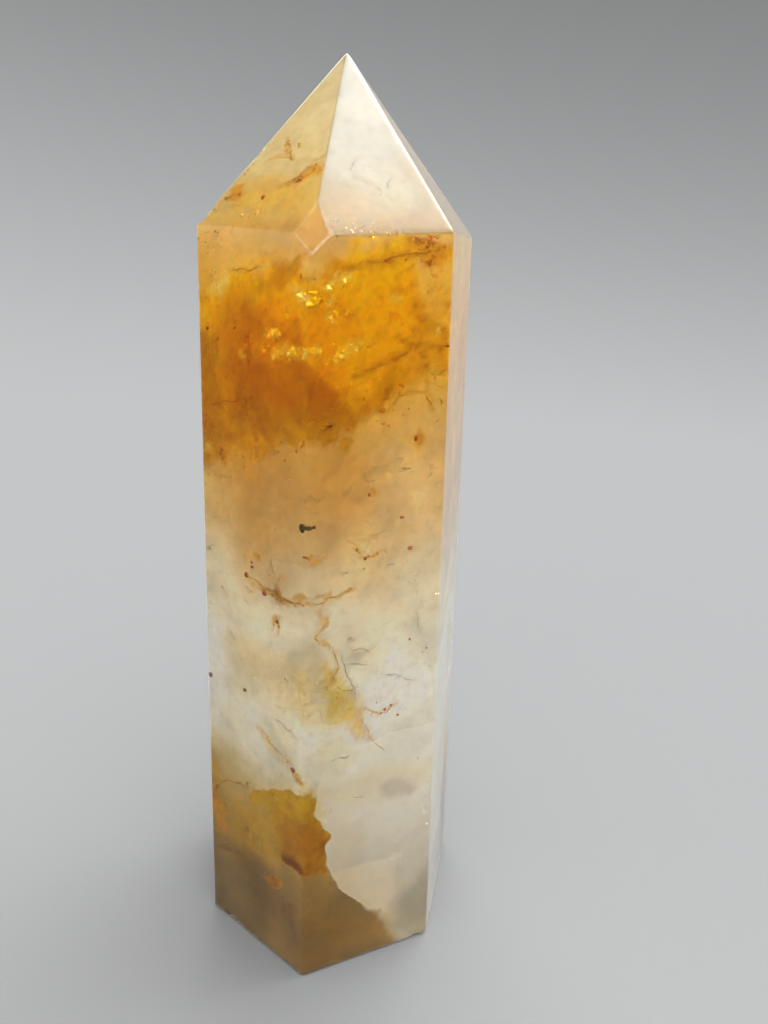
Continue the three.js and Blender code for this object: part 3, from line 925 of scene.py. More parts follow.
# No iron on the right front facet above its foot, so that its painted sheen stays pale.
iron_share *= 1 - painted_sheen_facet * slope(skin[:, 2], 89.6, 90.2)
iron_and_glints = stain(iron_and_glints, 0.8 * on_plane(side_plane["far_right"]), (1.0, 0.80, 0.22))
iron_and_glints = np.clip(iron_and_glints * np.clip(1 + iron_change * wisps, 0.3, 1.3)[:, None], 0.0, 1.0)
iron_share = iron_share * (1 - broken)


def colour_layer(name, colour, alpha):
    """A layer of colours on the crystal's vertices. The shown tint is squared, because light passes the skin
    on its way in and on its way out."""
    layer = crystal_mesh.attributes.new(name, "FLOAT_COLOR", "POINT")
    layer.data.foreach_set("color", np.concatenate([colour ** 2, alpha[:, None]], axis=1).ravel())


def number_layer(name, values):
    """A layer of numbers on the crystal's vertices."""
    crystal_mesh.attributes.new(name, "FLOAT", "POINT").data.foreach_set("value", values)


# The stain layer holds the stone's colour together with the painted sheen and painted shade on the point's
# facets and worn corner, and the painted shadow beside the grey cracks.
colour_layer("stain", tint, np.ones(len(skin)))
colour_layer("lobe", lobe, lobe_share * (1 - broken))
colour_layer("iron_and_glints", iron_and_glints, iron_share)
number_layer("iron_softness", iron_softness)
number_layer("broken", broken)


def drawn_out(tree, position, direction, share):
    """The position with its part along a direction shrunk to a share, so that noise on it is drawn out."""
    removed = reckon(tree, "MULTIPLY", along(tree, position, direction), 1 - share)
    part = put(tree, "VectorMath", _0=direction, _3=removed)
    part.operation = "SCALE"
    rest = put(tree, "VectorMath", _0=position, _1=part.outputs[0])
    rest.operation = "SUBTRACT"
    return rest.outputs[0]


def attribute(tree, name):
    """A layer of the mesh, by its name."""
    node = put(tree, "Attribute")
    node.attribute_name = name
    return node


# Roughness of the polished faces and of a break, and how strongly quartz bends light.
polished = 0.03
frosted = 0.42
quartz_ior = 1.544
quartz, shader = plain_material("golden healer quartz", (1, 1, 1), polished)
shader.inputs["IOR"].default_value = quartz_ior
shader.inputs["Transmission Weight"].default_value = 1.0
tree = quartz.node_tree
position = position_in_mm(tree)
slanted = drawn_out(tree, position, (0.64, 0.0, 0.77), 0.5)
lobe_layer = attribute(tree, "lobe")
iron_and_glint_layer = attribute(tree, "iron_and_glints")

# Fine noise mottles the milk, and healed cracks run through it as faint pale lines, where drawn-out noise
# crosses its middle value.
grain = cloud(tree, position, 1.1, detail=4.0, roughness=0.62)
grained = colours_along(tree, grain, [
    (0.30, (0.85, 0.83, 0.79)), (0.50, (0.99, 0.99, 0.98)), (0.60, (1, 1, 1))])
milk_colour = blend(tree, 1.0, attribute(tree, "stain").outputs["Color"], grained, "MULTIPLY")
crack_way = drawn_out(tree, position, (0.85, 0.1, 0.5), 0.4)
wave = cloud(tree, crack_way, 3.2, detail=4.0, roughness=0.6, w=7.0)
near_line = rise(tree, reckon(tree, "ABSOLUTE", reckon(tree, "SUBTRACT", wave, 0.5)), 0.02, 0.0)
lined_parts = rise(tree, cloud(tree, position, 4.0, detail=2.0), 0.45, 0.6)
line_here = reckon(tree, "MULTIPLY", near_line, lined_parts)
faint_line = blend(tree, reckon(tree, "MULTIPLY", line_here, 0.6), (0.93, 0.93, 0.93), (1.0, 1.0, 1.0))
milk_colour = blend(tree, 1.0, milk_colour, faint_line, "MULTIPLY")


def frayed(share, amount, half_width):
    """1 where a share is over a half and 0 elsewhere. Noise of the given amount frays the edge, which rises
    over the half width each way."""
    moved = reckon(tree, "MULTIPLY_ADD", fray, amount, reckon(tree, "SUBTRACT", share, amount / 2))
    return rise(tree, moved, reckon(tree, "SUBTRACT", 0.5, half_width), reckon(tree, "ADD", 0.5, half_width))


# The iron stain's edge is sharp where its softness is 0, and wide where it is 1. The lobe lies over it, and
# its edge is wide near its foot.
fray = cloud(tree, slanted, 1.3, detail=5.0, roughness=0.68)
iron_width = reckon(tree, "MULTIPLY_ADD", attribute(tree, "iron_softness").outputs["Fac"], 0.34, 0.07)
iron_here = frayed(iron_and_glint_layer.outputs["Alpha"], 0.8, iron_width)
streaks = colours_along(tree, cloud(tree, slanted, 0.9, detail=4.0, roughness=0.6, w=3.0), [
    (0.34, (0.78, 0.70, 0.60)), (0.52, (1.0, 1.0, 1.0))])
mottle = colours_along(tree, cloud(tree, position, 2.4, detail=5.0, roughness=0.68, w=11.0), [
    (0.34, (0.74, 0.60, 0.40)), (0.47, (1.0, 1.0, 1.0)), (0.53, (1.0, 1.0, 1.0)), (0.66, (1.0, 1.22, 2.0))])
iron_and_glint_colour = blend(tree, 1.0, iron_and_glint_layer.outputs["Color"], streaks, "MULTIPLY")
iron_and_glint_colour = blend(tree, 1.0, iron_and_glint_colour, mottle, "MULTIPLY")
lobe_colour = blend(tree, 0.35, lobe_layer.outputs["Color"], grained, "MULTIPLY")
height = along(tree, position, (0.0, 0.0, 1.0))
lobe_width = reckon(tree, "MULTIPLY_ADD", rise(tree, height, *lobe_fade), 0.34, 0.08)
lobe_here = frayed(lobe_layer.outputs["Alpha"], 0.3, lobe_width)
skin_colour = blend(tree, lobe_here, blend(tree, iron_here, milk_colour, iron_and_glint_colour), lobe_colour)
tree.links.new(skin_colour, shader.inputs["Base Color"])

# Polish leaves the faces glossy and faintly wavy, and a break is frosty and rippled.
break_share = attribute(tree, "broken").outputs["Fac"]
roughness = reckon(tree, "MULTIPLY_ADD", break_share, frosted - polished, polished)
tree.links.new(roughness, shader.inputs["Roughness"])
ripples = reckon(tree, "MULTIPLY", cloud(tree, position, 0.5, roughness=0.6), break_share)
swell = cloud(tree, position, 6.0, detail=1.0)
relief = reckon(tree, "MULTIPLY_ADD", swell, 0.15, ripples)
bump = put(tree, "Bump", Height=relief, Distance=0.2 * millimetre, Strength=0.6)
tree.links.new(bump.outputs[0], shader.inputs["Normal"])

# The haze scatters light all through the stone and tinges it a little. Densities are per metre.
haze_density = 80.0
tinge_density = 1.0
milk = put(tree, "VolumeScatter", Color=(1, 1, 1, 1), Density=haze_density, Anisotropy=0.2)
tinge = put(tree, "VolumeAbsorption", Color=(0.97, 0.88, 0.6, 1), Density=tinge_density)
haze = put(tree, "AddShader", _0=milk.outputs[0], _1=tinge.outputs[0])
tree.links.new(haze.outputs[0], tree.nodes["Material Output"].inputs["Volume"])

crystal = show("quartz_crystal", crystal_mesh, quartz)
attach(crystal, "root")
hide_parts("crystal")

# Light bounces often in the haze before it is out of the stone.
scene.cycles.volume_bounces = 24
scene.cycles.max_bounces = 32
scene.cycles.transmission_bounces = 24
scene.cycles.transparent_max_bounces = 64

# ---------------------------------------------------------------- golden stain in the stone
# Iron oxide that seeped into the crystal and stains it gold: clouds with no edge, deepest where they are
# thickest. Each is a body of tinted quartz inside the quartz, and its density is per metre of light's way.

inner_planes = [*side_plane.values(), *facet_plane.values(), base_plane]
inner_normals = np.array([plane[0] for plane in inner_planes])
inner_reaches = np.array([plane[1] for plane in inner_planes])


def kept_inside(points, depth):
    """The points, with any nearer than the depth to a face pushed straight in from it."""
    for normal, reach in zip(inner_normals, inner_reaches):
        past = np.clip(points @ normal - reach + depth, 0, None)
        points = points - past[..., None] * normal
    return points


def waves(points, size, seed):
    """A smooth random height at each point, about -1 to 1: sine waves of random headings, a size apart,
    are summed, and each further octave is half as long and half as high."""
    random = np.random.default_rng(seed)
    total = np.zeros(points.shape[:-1])
    for octave in range(3):
        headings = random.normal(size=(9, 3))
        lengths = size * random.uniform(0.7, 1.4, (9, 1)) / 2 ** octave
        headings /= np.linalg.norm(headings, axis=1)[:, None] * lengths
        phases = random.uniform(0, 2 * np.pi, 9)
        total += np.sin(2 * np.pi * points @ headings.T + phases).sum(axis=-1) / 4.5 / 2 ** octave
    return total


def wall_distance(turn, height, depth):
    """How far the tower's inside reaches from its axis at a turn and a height, less the depth: the least
    reach of its planes along that line."""
    outward = np.stack([np.cos(turn), np.sin(turn), np.zeros_like(turn)], axis=-1)
    slant = outward @ inner_normals.T
    under_wall = inner_reaches - height[..., None] * inner_normals[:, 2] - (depth + 0 * turn)[..., None]
    ahead = slant > 0.05
    far_away = 1e3
    return np.where(ahead, under_wall / np.where(ahead, slant, 1), far_away).min(axis=-1)


def layer_across(low, high, depth, seed, ripple, size):
    """A closed layer that fills the tower from wall to wall. Low and high give the height of its underside
    and top at x and y, each rippled by waves; its rim follows the walls at the depth inside them."""
    turn = np.linspace(0, 2 * np.pi, 72, endpoint=False)
    rings = np.linspace(0, 1, 13)
    wall = np.linspace(0, 1, 9)[1:-1]
    outward = np.concatenate([rings, wall * 0 + 1, rings[::-1]])
    up = np.concatenate([rings * 0, wall, rings * 0 + 1])
    share, angle = np.broadcast_arrays(outward[:, None], turn[None])
    height = np.full(angle.shape, 0.5 * (low(0, 0) + high(0, 0)))
    for _ in range(3):
        radius = share * np.clip(wall_distance(angle, height, depth), 0, None)
        x, y = radius * np.cos(angle), radius * np.sin(angle)
        flat = np.stack([x, y, x * 0], axis=-1)
        bottom = low(x, y) + ripple * waves(flat, size, seed)
        top = np.maximum(high(x, y) + ripple * waves(flat, size, seed + 1), bottom + 0.3)
        height = bottom + (top - bottom) * up[:, None]
    return kept_inside(np.stack([x, y, height], axis=-1), depth)


def stain_material(name, colour, density):
    """Tinted stone with no surface of its own: only its absorption shows."""
    material, shader = plain_material(name, (1, 1, 1), 0.0)
    shader.inputs["Alpha"].default_value = 0.0
    shader.inputs["IOR"].default_value = 1.0
    shader.inputs["Transmission Weight"].default_value = 1.0
    tree = material.node_tree
    tinge = put(tree, "VolumeAbsorption", Color=(*colour, 1), Density=density)
    tree.links.new(tinge.outputs[0], tree.nodes["Material Output"].inputs["Volume"])
    return material


def unit_ball(lifts, turns):
    """A round ball of radius 1 as a grid: lifts rows from the lower pole to the upper, and turns columns
    round it. Returns it with the lift and the turn of its points."""
    lift = np.linspace(-np.pi / 2, np.pi / 2, lifts)[:, None]
    turn = np.linspace(0, 2 * np.pi, turns, endpoint=False)[None]
    across, height = np.cos(lift), np.sin(lift) + 0 * turn
    ball = np.stack([across * np.cos(turn), across * np.sin(turn), height], axis=-1)
    return ball, lift, turn


lump_cover = 0.22


def lump(face, across, up, depth, radii, seed, ragged):
    """A closed cloud-shaped body: an ellipsoid of three radii, across, up and deep, whose radius swells and
    shrinks by waves, kept just inside the stone."""
    ball, _, _ = unit_ball(25, 40)
    ball *= (1 + ragged * waves(ball, 1.1, seed))[..., None]
    _, rightward, upward, facing_out = face_frame(face)
    frame_axes = np.stack([rightward * radii[0], facing_out * -radii[2], upward * radii[1]])
    return kept_inside(spot(face, across, up, depth) + ball @ frame_axes, lump_cover)


def seal_in(name, points, material):
    """A piece sealed in the stone, which rides with it."""
    piece = show(name, closed_mesh(name, points), material)
    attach(piece, "root")


gold_stain = stain_material("gold stain", (0.99, 0.92, 0.10), 80.0)
pale_stain = stain_material("pale gold stain", (0.99, 0.88, 0.4), 20.0)
amber_stain = stain_material("amber stain", (0.98, 0.84, 0.06), 160.0)
tan_stain = stain_material("tan stain", (0.96, 0.84, 0.5), 50.0)

seal_in("golden_band", layer_across(
    lambda x, y: 71.0 + 0.40 * x - 0.06 * y, lambda x, y: 86.5 + 0 * x,
    depth=0.4, seed=5, ripple=3.0, size=9.0), gold_stain)
seal_in("golden_halo", layer_across(
    lambda x, y: 64.0 + 0.30 * x + 0 * y, lambda x, y: 91.0 + 0 * x,
    depth=0.3, seed=15, ripple=4.0, size=12.0), pale_stain)

# Lumps: name, face, across, up, depth, radii, seed, raggedness and material.
for name, face, across, up, depth, radii, seed, ragged, material in [
    ("band_core", "left", -0.5, 77.5, 6.0, (8.0, 7.0, 6.5), 21, 0.25, amber_stain),
    ("band_right", "right", -1.0, 84.0, 4.5, (6.5, 4.0, 5.0), 22, 0.25, gold_stain),
    ("band_back", "left_back", 1.0, 80.0, 5.0, (6.0, 5.0, 5.0), 23, 0.25, gold_stain),
    ("amber_patch", "left", 5.6, 19.8, 2.4, (3.8, 5.0, 2.4), 24, 0.2, amber_stain),
    ("ochre_cloud", "left", 3.0, 40.5, 3.2, (6.5, 3.4, 2.6), 26, 0.25, tan_stain),
    ("ochre_drift", "right", -4.6, 38.6, 2.0, (2.2, 3.4, 1.8), 27, 0.25, gold_stain),
    ("middle_tan", "left", 2.0, 61.0, 8.0, (9.0, 8.0, 8.0), 28, 0.25, tan_stain),
]:
    seal_in(name, lump(face, across, up, depth, radii, seed, ragged), material)

seal_in("base_tan", layer_across(
    lambda x, y: 0.4 + 0 * x, lambda x, y: 7.0 - 0.35 * x + 0.1 * y,
    depth=0.3, seed=30, ripple=1.5, size=8.0), tan_stain)

# ---------------------------------------------------------------- flakes of iron oxide
# Healed cracks hold thin ragged flakes of iron oxide: golden ochre through the band and red-brown where it
# is thickest. Each is a crumb as thin as paper with a torn rim, and light shines through it.


flake_cover = 0.12


def flakes(middles, facings, radii, thickness, seed, ragged):
    """Closed ragged discs, one for each middle. The rim's radius varies round it by a few sine waves of
    random size, the disc is thickest in the middle and thins to the rim as the root of 1 - share squared,
    and it is bent like a saddle by the bend times the square of the distance out."""
    bend = 0.15
    random = np.random.default_rng(seed)
    count = len(middles)
    share = np.array([0, 0.55, 0.85, 1.0, 0.85, 0.55, 0])
    lift = np.array([-1, -0.83, -0.52, 0, 0.52, 0.83, 1])
    turn = np.linspace(0, 2 * np.pi, 18, endpoint=False)
    rim = np.ones((count, len(turn)))
    for wave in range(2, 8):
        size = random.normal(size=(count, 1)) * ragged / np.sqrt(wave - 1)
        rim += size * np.sin(wave * turn + random.uniform(0, 2 * np.pi, (count, 1)))
    rim = np.clip(rim, 0.25, 2.0) * radii[:, None]
    facings = facings / np.linalg.norm(facings, axis=1)[:, None]
    helper = random.normal(size=(count, 3))
    first = np.cross(facings, helper)
    first /= np.linalg.norm(first, axis=1)[:, None]
    second = np.cross(facings, first)
    out = share[None, :, None] * rim[:, None]
    rise_up = lift[None, :, None] * thickness / 2 + bend * out ** 2 / radii[:, None, None] * np.cos(2 * turn)
    points = (middles[:, None, None]
              + first[:, None, None] * (out * np.cos(turn))[..., None]
              + second[:, None, None] * (out * np.sin(turn))[..., None]
              + facings[:, None, None] * rise_up[..., None])
    return kept_inside(points, flake_cover)


def scattered(count, low, high, deepest, seed):
    """Random places between two heights, nearer the walls than the axis: the depth under the wall is the
    deepest times the square of a random share. Low and high give the heights at x and y."""
    random = np.random.default_rng(seed)
    turn = random.uniform(0, 2 * np.pi, count)
    share = random.uniform(0, 1, count)
    x, y = turn * 0, turn * 0
    depth = 0.3 + deepest * random.uniform(0, 1, count) ** 2
    for _ in range(3):
        height = low(x, y) + (high(x, y) - low(x, y)) * share
        radius = np.clip(wall_distance(turn, height, depth), 0, None)
        x, y = radius * np.cos(turn), radius * np.sin(turn)
    return np.stack([x, y, height], axis=-1)


def sizes(count, smallest, largest, seed):
    """Random radii, many small and few large: the smallest times a power of their ratio."""
    share = np.random.default_rng(seed).uniform(0, 1, count) ** 2
    return smallest * (largest / smallest) ** share


def any_way(places, seed, stray, upward):
    """Directions out of the stone and up from each place, with random straying."""
    out = places * np.array([1.0, 1.0, 0.0])
    out /= np.linalg.norm(out, axis=1)[:, None] + 0.01
    out[:, 2] = upward
    return out + stray * np.random.default_rng(seed).normal(size=places.shape)


def path_lengths(line):
    """How far along a line of points each one is."""
    return np.concatenate([[0], np.cumsum(np.linalg.norm(np.diff(line, axis=0), axis=1))])


def at_lengths(line, lengths):
    """The places at lengths along a line of points."""
    far = path_lengths(line)
    return np.stack([np.interp(lengths, far, line[:, axis]) for axis in range(3)], axis=-1)


def along_path(rows, count, stray, depth, seed):
    """Places strewn along the straight stretches between the spots of a path, straying each way."""
    line = spots(rows, depth)
    random = np.random.default_rng(seed)
    places = at_lengths(line, np.sort(random.uniform(0, path_lengths(line)[-1], count)))
    return places + random.normal(size=places.shape) * stray


def strewn(trails, first_seed):
    """The places and the radii of flakes strewn along trails: path, count, stray, depth, smallest and
    largest radius. Each trail draws its places and its radii with seeds of its own."""
    places = []
    radii = []
    for number, (path, count, stray, depth, smallest, largest) in enumerate(trails):
        places.append(along_path(path, count, stray, depth, first_seed + number))
        radii.append(sizes(count, smallest, largest, first_seed + 40 + number))
    return np.concatenate(places), np.concatenate(radii)


def band_floor(x, y):
    """The height of the golden band's lower edge at x and y."""
    return 70.0 + 0.40 * x - 0.06 * y


def band_roof(x, y):
    """The height of the golden band's upper edge at x and y."""
    return 88.0 + 0 * x


def film_material(name, stops, size, roughness=0.5, see_through=0.7):
    """A thin film that light shines through: ramp colours over cloudy noise."""
    material, shader = plain_material(name, stops[-1][1], roughness)
    shader.inputs["Transmission Weight"].default_value = see_through
    shader.inputs["IOR"].default_value = 1.05
    tree = material.node_tree
    grain = cloud(tree, position_in_mm(tree), size, roughness=0.6)
    tree.links.new(colours_along(tree, grain, stops), shader.inputs["Base Color"])
    return material


ochre = film_material("ochre film", [
    (0.32, (0.70, 0.36, 0.02)), (0.46, (0.90, 0.56, 0.045)), (0.60, (1.0, 0.76, 0.12)),
    (0.75, (1.0, 0.90, 0.36))], 1.6)
rust = film_material("rust", [
    (0.35, (0.20, 0.04, 0.006)), (0.55, (0.50, 0.16, 0.015)), (0.72, (0.80, 0.38, 0.04))],
    0.8, see_through=0.3)


def seal_in_flakes(name, places, radii, seeds, material, thickness=0.04, stray=1.0, upward=0.8, ragged=0.35):
    """Flakes at the places as one piece, facing out of the stone and up with random straying. The seeds are
    those of the directions and of the rims."""
    facings = any_way(places, seeds[0], stray, upward)
    seal_in(name, flakes(places, facings, radii, thickness, seeds[1], ragged), material)


band_places = scattered(320, band_floor, band_roof, deepest=8.0, seed=51)
seal_in_flakes("band_flakes", band_places, sizes(320, 0.08, 0.6, seed=53), (52, 54), ochre)
rim_places = scattered(
    260, lambda x, y: band_floor(x, y) - 2.5, lambda x, y: band_floor(x, y) + 2.0, deepest=2.0, seed=55)
seal_in_flakes("band_rim_flakes", rim_places, sizes(260, 0.08, 0.42, seed=57), (56, 58), ochre)
rust_places = scattered(90, band_floor, band_roof, deepest=2.5, seed=59)
seal_in_flakes("band_rust", rust_places, sizes(90, 0.06, 0.24, seed=61), (60, 62), rust)

# Ochre strewn along cracks: the orange line round the point, the knot at the right shoulder, the hanging
# chain across the middle and the golden drift under it. Each is a path, the number of flakes, how far they
# stray, their depth under the face, and their smallest and largest radius.
ochre_trails = [
    (on("point_left", -7.6, 93.8, -4.5, 94.6), 30, 0.25, 0.5, 0.07, 0.3),
    (on("point_left", 0.2, 94.8, 3.1, 95.6, 4.6, 97.4), 34, 0.2, 0.5, 0.07, 0.28),
    (on("point_left", -2.9, 99.9, -1.2, 98.9), 12, 0.2, 0.4, 0.08, 0.3),
    (on("point_left", 0.0, 99.4, 0.4, 99.2), 5, 0.15, 0.4, 0.08, 0.25),
    (on("right", 2.4, 89.4, 3.7, 89.7, 5.1, 89.9, 6.8, 89.4), 60, 0.35, 0.6, 0.06, 0.3),
    (on("right", 4.6, 89.0, 5.6, 88.0, 4.4, 87.6), 30, 0.3, 0.6, 0.06, 0.3),
    (on("left", -1.0, 54.9, 1.4, 54.9), 14, 0.3, 0.6, 0.06, 0.25),
    (on(
        "left", -0.9, 51.7, 0.7, 51.5, 2.4, 51.0, 3.9, 51.2, 5.4, 50.8, 7.4, 50.9, 8.8, 51.2),
     80, 0.2, 0.4, 0.05, 0.2),
    (on("right", -7.0, 51.0, -6.3, 51.7, -5.1, 51.6, -3.1, 52.5), 26, 0.1, 0.4, 0.05, 0.2),
    (on("left", 8.5, 56.6, "right", -6.2, 57.3), 18, 0.1, 0.4, 0.06, 0.24),
    (on("left", 4.4, 48.2, 4.6, 46.8), 12, 0.12, 0.4, 0.06, 0.24),
    (on("right", -6.0, 49.5, -6.3, 48.5, -7.6, 47.3, -5.9, 46.0), 24, 0.14, 0.4, 0.05, 0.22),
    (on("right", -6.3, 43.4, -5.4, 41.6, -4.4, 39.4, -3.2, 37.5, -1.7, 34.8), 26, 0.35, 0.7, 0.05, 0.16),
    (on("left", 1.0, 32.5, 1.9, 31.9), 10, 0.25, 0.4, 0.05, 0.18),
    (on("left", 2.2, 31.8, 3.5, 31.0, 6.6, 30.3, 7.0, 28.8, 8.4, 28.4), 40, 0.2, 0.5, 0.05, 0.18),
    (on("left", -8.6, 20.0, -6.4, 17.6), 22, 0.4, 0.6, 0.08, 0.4),
    (on("left", -2.2, 16.4, -0.4, 16.2), 12, 0.3, 0.6, 0.05, 0.2),
    (on("left", 2.1, 11.9, 3.6, 11.9), 10, 0.3, 0.6, 0.05, 0.2),
    (on("left", -3.2, 22.8, 1.4, 23.4, 5.0, 26.0), 30, 0.3, 0.6, 0.06, 0.3),
]
trail_places, trail_radii = strewn(ochre_trails, 200)
seal_in_flakes("ochre_trails", trail_places, trail_radii, (63, 64), ochre, thickness=0.06, stray=0.6)

# ---------------------------------------------------------------- specks
# Crumbs of dark mineral sealed in the stone: red-brown and dark red ones of iron oxide, and a few that are
# olive-black.


def specks(middles, radii, seed):
    """Closed lumpy beads, one for each middle: a ball whose radius swells and shrinks by two waves."""
    random = np.random.default_rng(seed)
    ball, lift, turn = unit_ball(9, 12)
    squeeze = random.uniform(0.65, 1.1, (len(middles), 1, 1, 3))
    phase = random.uniform(0, 2 * np.pi, (len(middles), 1, 1))
    swell = 1 + 0.18 * np.sin(3 * turn + phase) * np.cos(lift) ** 2 + 0.12 * np.sin(2 * lift + phase)
    lumps = ball * squeeze * (swell * radii[:, None, None])[..., None]
    return kept_inside(middles[:, None, None] + lumps, flake_cover)


def grainy_material(name, first, last, size, roughness, metallic=0.0, last_at=0.65):
    """A material with one colour running into another over cloudy noise, up to a share of its range."""
    material, shader = plain_material(name, last, roughness)
    shader.inputs["Metallic"].default_value = metallic
    tree = material.node_tree
    grain = cloud(tree, position_in_mm(tree), size, detail=2.0)
    tree.links.new(colours_along(tree, grain, [(0.35, first), (last_at, last)]), shader.inputs["Base Color"])
    return material


def seal_in_specks(name, rows, depth, seed, material):
    """Specks at rows of face, across, height and radius, at a depth under the face, as one piece."""
    seal_in(name, specks(spots(rows, depth), np.array([row[3] for row in rows]), seed), material)


red_brown = grainy_material("red-brown crumb", (0.30, 0.05, 0.008), (0.62, 0.24, 0.04), 0.3, 0.5)
dark_red = grainy_material("dark red crumb", (0.07, 0.008, 0.004), (0.24, 0.03, 0.012), 0.3, 0.4)
olive_black = grainy_material("olive-black crumb", (0.03, 0.026, 0.008), (0.14, 0.12, 0.04), 0.3, 0.4)

red_rows = on(
    "left", -0.3, 53.8, 0.22, -0.2, 53.2, 0.2, -1.2, 52.0, 0.5,
    "right", 4.1, 56.4, 0.3, -2.5, 57.0, 0.16, -1.5, 55.8, 0.26, -1.1, 56.0, 0.16, 0.0, 56.2, 0.16,
    -1.6, 54.6, 0.12, "left", 1.9, 50.6, 0.36, -5.6, 90.3, 0.14, -5.2, 90.2, 0.16,
    "point_left", -1.2, 94.0, 0.3, -5.2, 94.5, 0.22,
    "right", 0.5, 37.2, 0.13, 3.4, 34.9, 0.22, 1.6, 36.0, 0.2, 1.1, 35.6, 0.14, 2.4, 36.4, 0.16,
    "left", 6.8, 29.2, 0.34, "right", 4.3, 69.2, 0.3, -1.2, 63.2, 0.22, 2.9, 60.2, 0.24,
    "left", -7.4, 80.0, 0.22, -5.6, 79.0, 0.2, 4.1, 47.6, 0.3,
    "right", 6.4, 42.8, 0.14, 7.0, 43.2, 0.14, 4.6, 44.8, 0.18, 7.6, 79.2, 0.22,
    "left_back", 2.1, 62.0, 0.4, -3.2, 55.5, 0.26, 5.0, 37.4, 0.3,
    "right_back", -2.0, 58.2, 0.34, 3.6, 47.0, 0.24, 0.4, 30.6, 0.4,
    "far_left", 2.0, 60.4, 0.3, -3.1, 44.8, 0.36, 1.2, 33.0, 0.22, "far_right", -1.8,
    52.6, 0.26, numbers_each=3)
garnet_rows = on("left", -8.6, 36.2, 0.38, -1.9, 36.6, 0.34, "right_back", 1.0, 26.0, 0.3, numbers_each=3)
dark_rows = on(
    "left", 8.1, 59.8, 0.46, "right", -8.0, 60.0, 0.3, -7.6, 60.1, 0.2, "left", 4.9, 9.6, 0.12,
    "right", 6.4, 64.8, 0.1, "left_back", -1.0, 48.0, 0.4, numbers_each=3)
seal_in_specks("red_crumbs", red_rows, 0.7, 301, red_brown)
seal_in_specks("dark_red_crumbs", garnet_rows, 0.7, 303, dark_red)
seal_in_specks("dark_crumbs", dark_rows, 0.9, 302, olive_black)

# ---------------------------------------------------------------- veins
# Fine cracks filled with iron oxide: hair-thin threads just under the skin.


thread_cover = 0.08


def threads(paths, radius, depth, seed):
    """Closed threads, one along each path: 40 rings of six points, each path's corners joined by straight
    stretches that wander with cloudy noise, and the radius swelling and thinning along it to nothing at
    both ends."""
    turn = np.linspace(0, 2 * np.pi, 6, endpoint=False)
    share = np.linspace(0, 1, 41)
    grids = []
    for number, rows in enumerate(paths):
        line = spots(rows, depth)
        middle = at_lengths(line, share * path_lengths(line)[-1])
        middle = mist_shift(middle, 1.6, 0.25, seed + 10 * number)
        headings = np.gradient(middle, axis=0)
        headings /= np.linalg.norm(headings, axis=1)[:, None]
        sideways = np.cross(headings, (0.3, 0.1, 0.9))
        sideways /= np.linalg.norm(sideways, axis=1)[:, None]
        upward = np.cross(sideways, headings)
        swelling = 0.7 + 0.5 * mist(middle, 0.9, seed + 10 * number + 5, 2)
        thick = radius * swelling * np.sqrt(np.sin(np.pi * share))
        ring = sideways[:, None] * np.cos(turn)[:, None] + upward[:, None] * np.sin(turn)[:, None]
        grids.append(middle[:, None] + ring * np.clip(thick, 0.01, None)[:, None, None])
    grids = np.array(grids)
    grids[:, 0] = grids[:, 0].mean(axis=1, keepdims=True)
    grids[:, -1] = grids[:, -1].mean(axis=1, keepdims=True)
    return kept_inside(grids, thread_cover)


vein_brown = film_material("brown vein", [
    (0.35, (0.54, 0.29, 0.02)), (0.55, (0.76, 0.49, 0.05)), (0.72, (0.90, 0.66, 0.14))],
    0.8, see_through=0.6)
seal_in("rusty_threads", threads(rusty_paths, radius=0.075, depth=0.25, seed=310), vein_brown)
vein_grey = film_material("grey vein", [
    (0.35, (0.24, 0.20, 0.15)), (0.65, (0.52, 0.46, 0.37))], 0.8, see_through=0.5)
seal_in("grey_threads", threads(grey_paths, radius=0.06, depth=0.2, seed=311), vein_grey)

# ---------------------------------------------------------------- glints and veils
# Small open cracks. Inside the band they flash gold like crumpled foil, and elsewhere they are white veils
# as thin as breath on glass.

foil = grainy_material("golden crack", (1.0, 0.80, 0.34), (1.0, 0.97, 0.80), 0.6, 0.28, 1.0, last_at=0.60)
silver = grainy_material("white crack", (0.90, 0.86, 0.78), (1.0, 1.0, 0.97), 0.6, 0.2, 1.0)
frost = film_material("frosty crack", [
    (0.35, (0.93, 0.90, 0.82)), (0.65, (1.0, 1.0, 0.98))], 1.2, roughness=0.6, see_through=0.9)

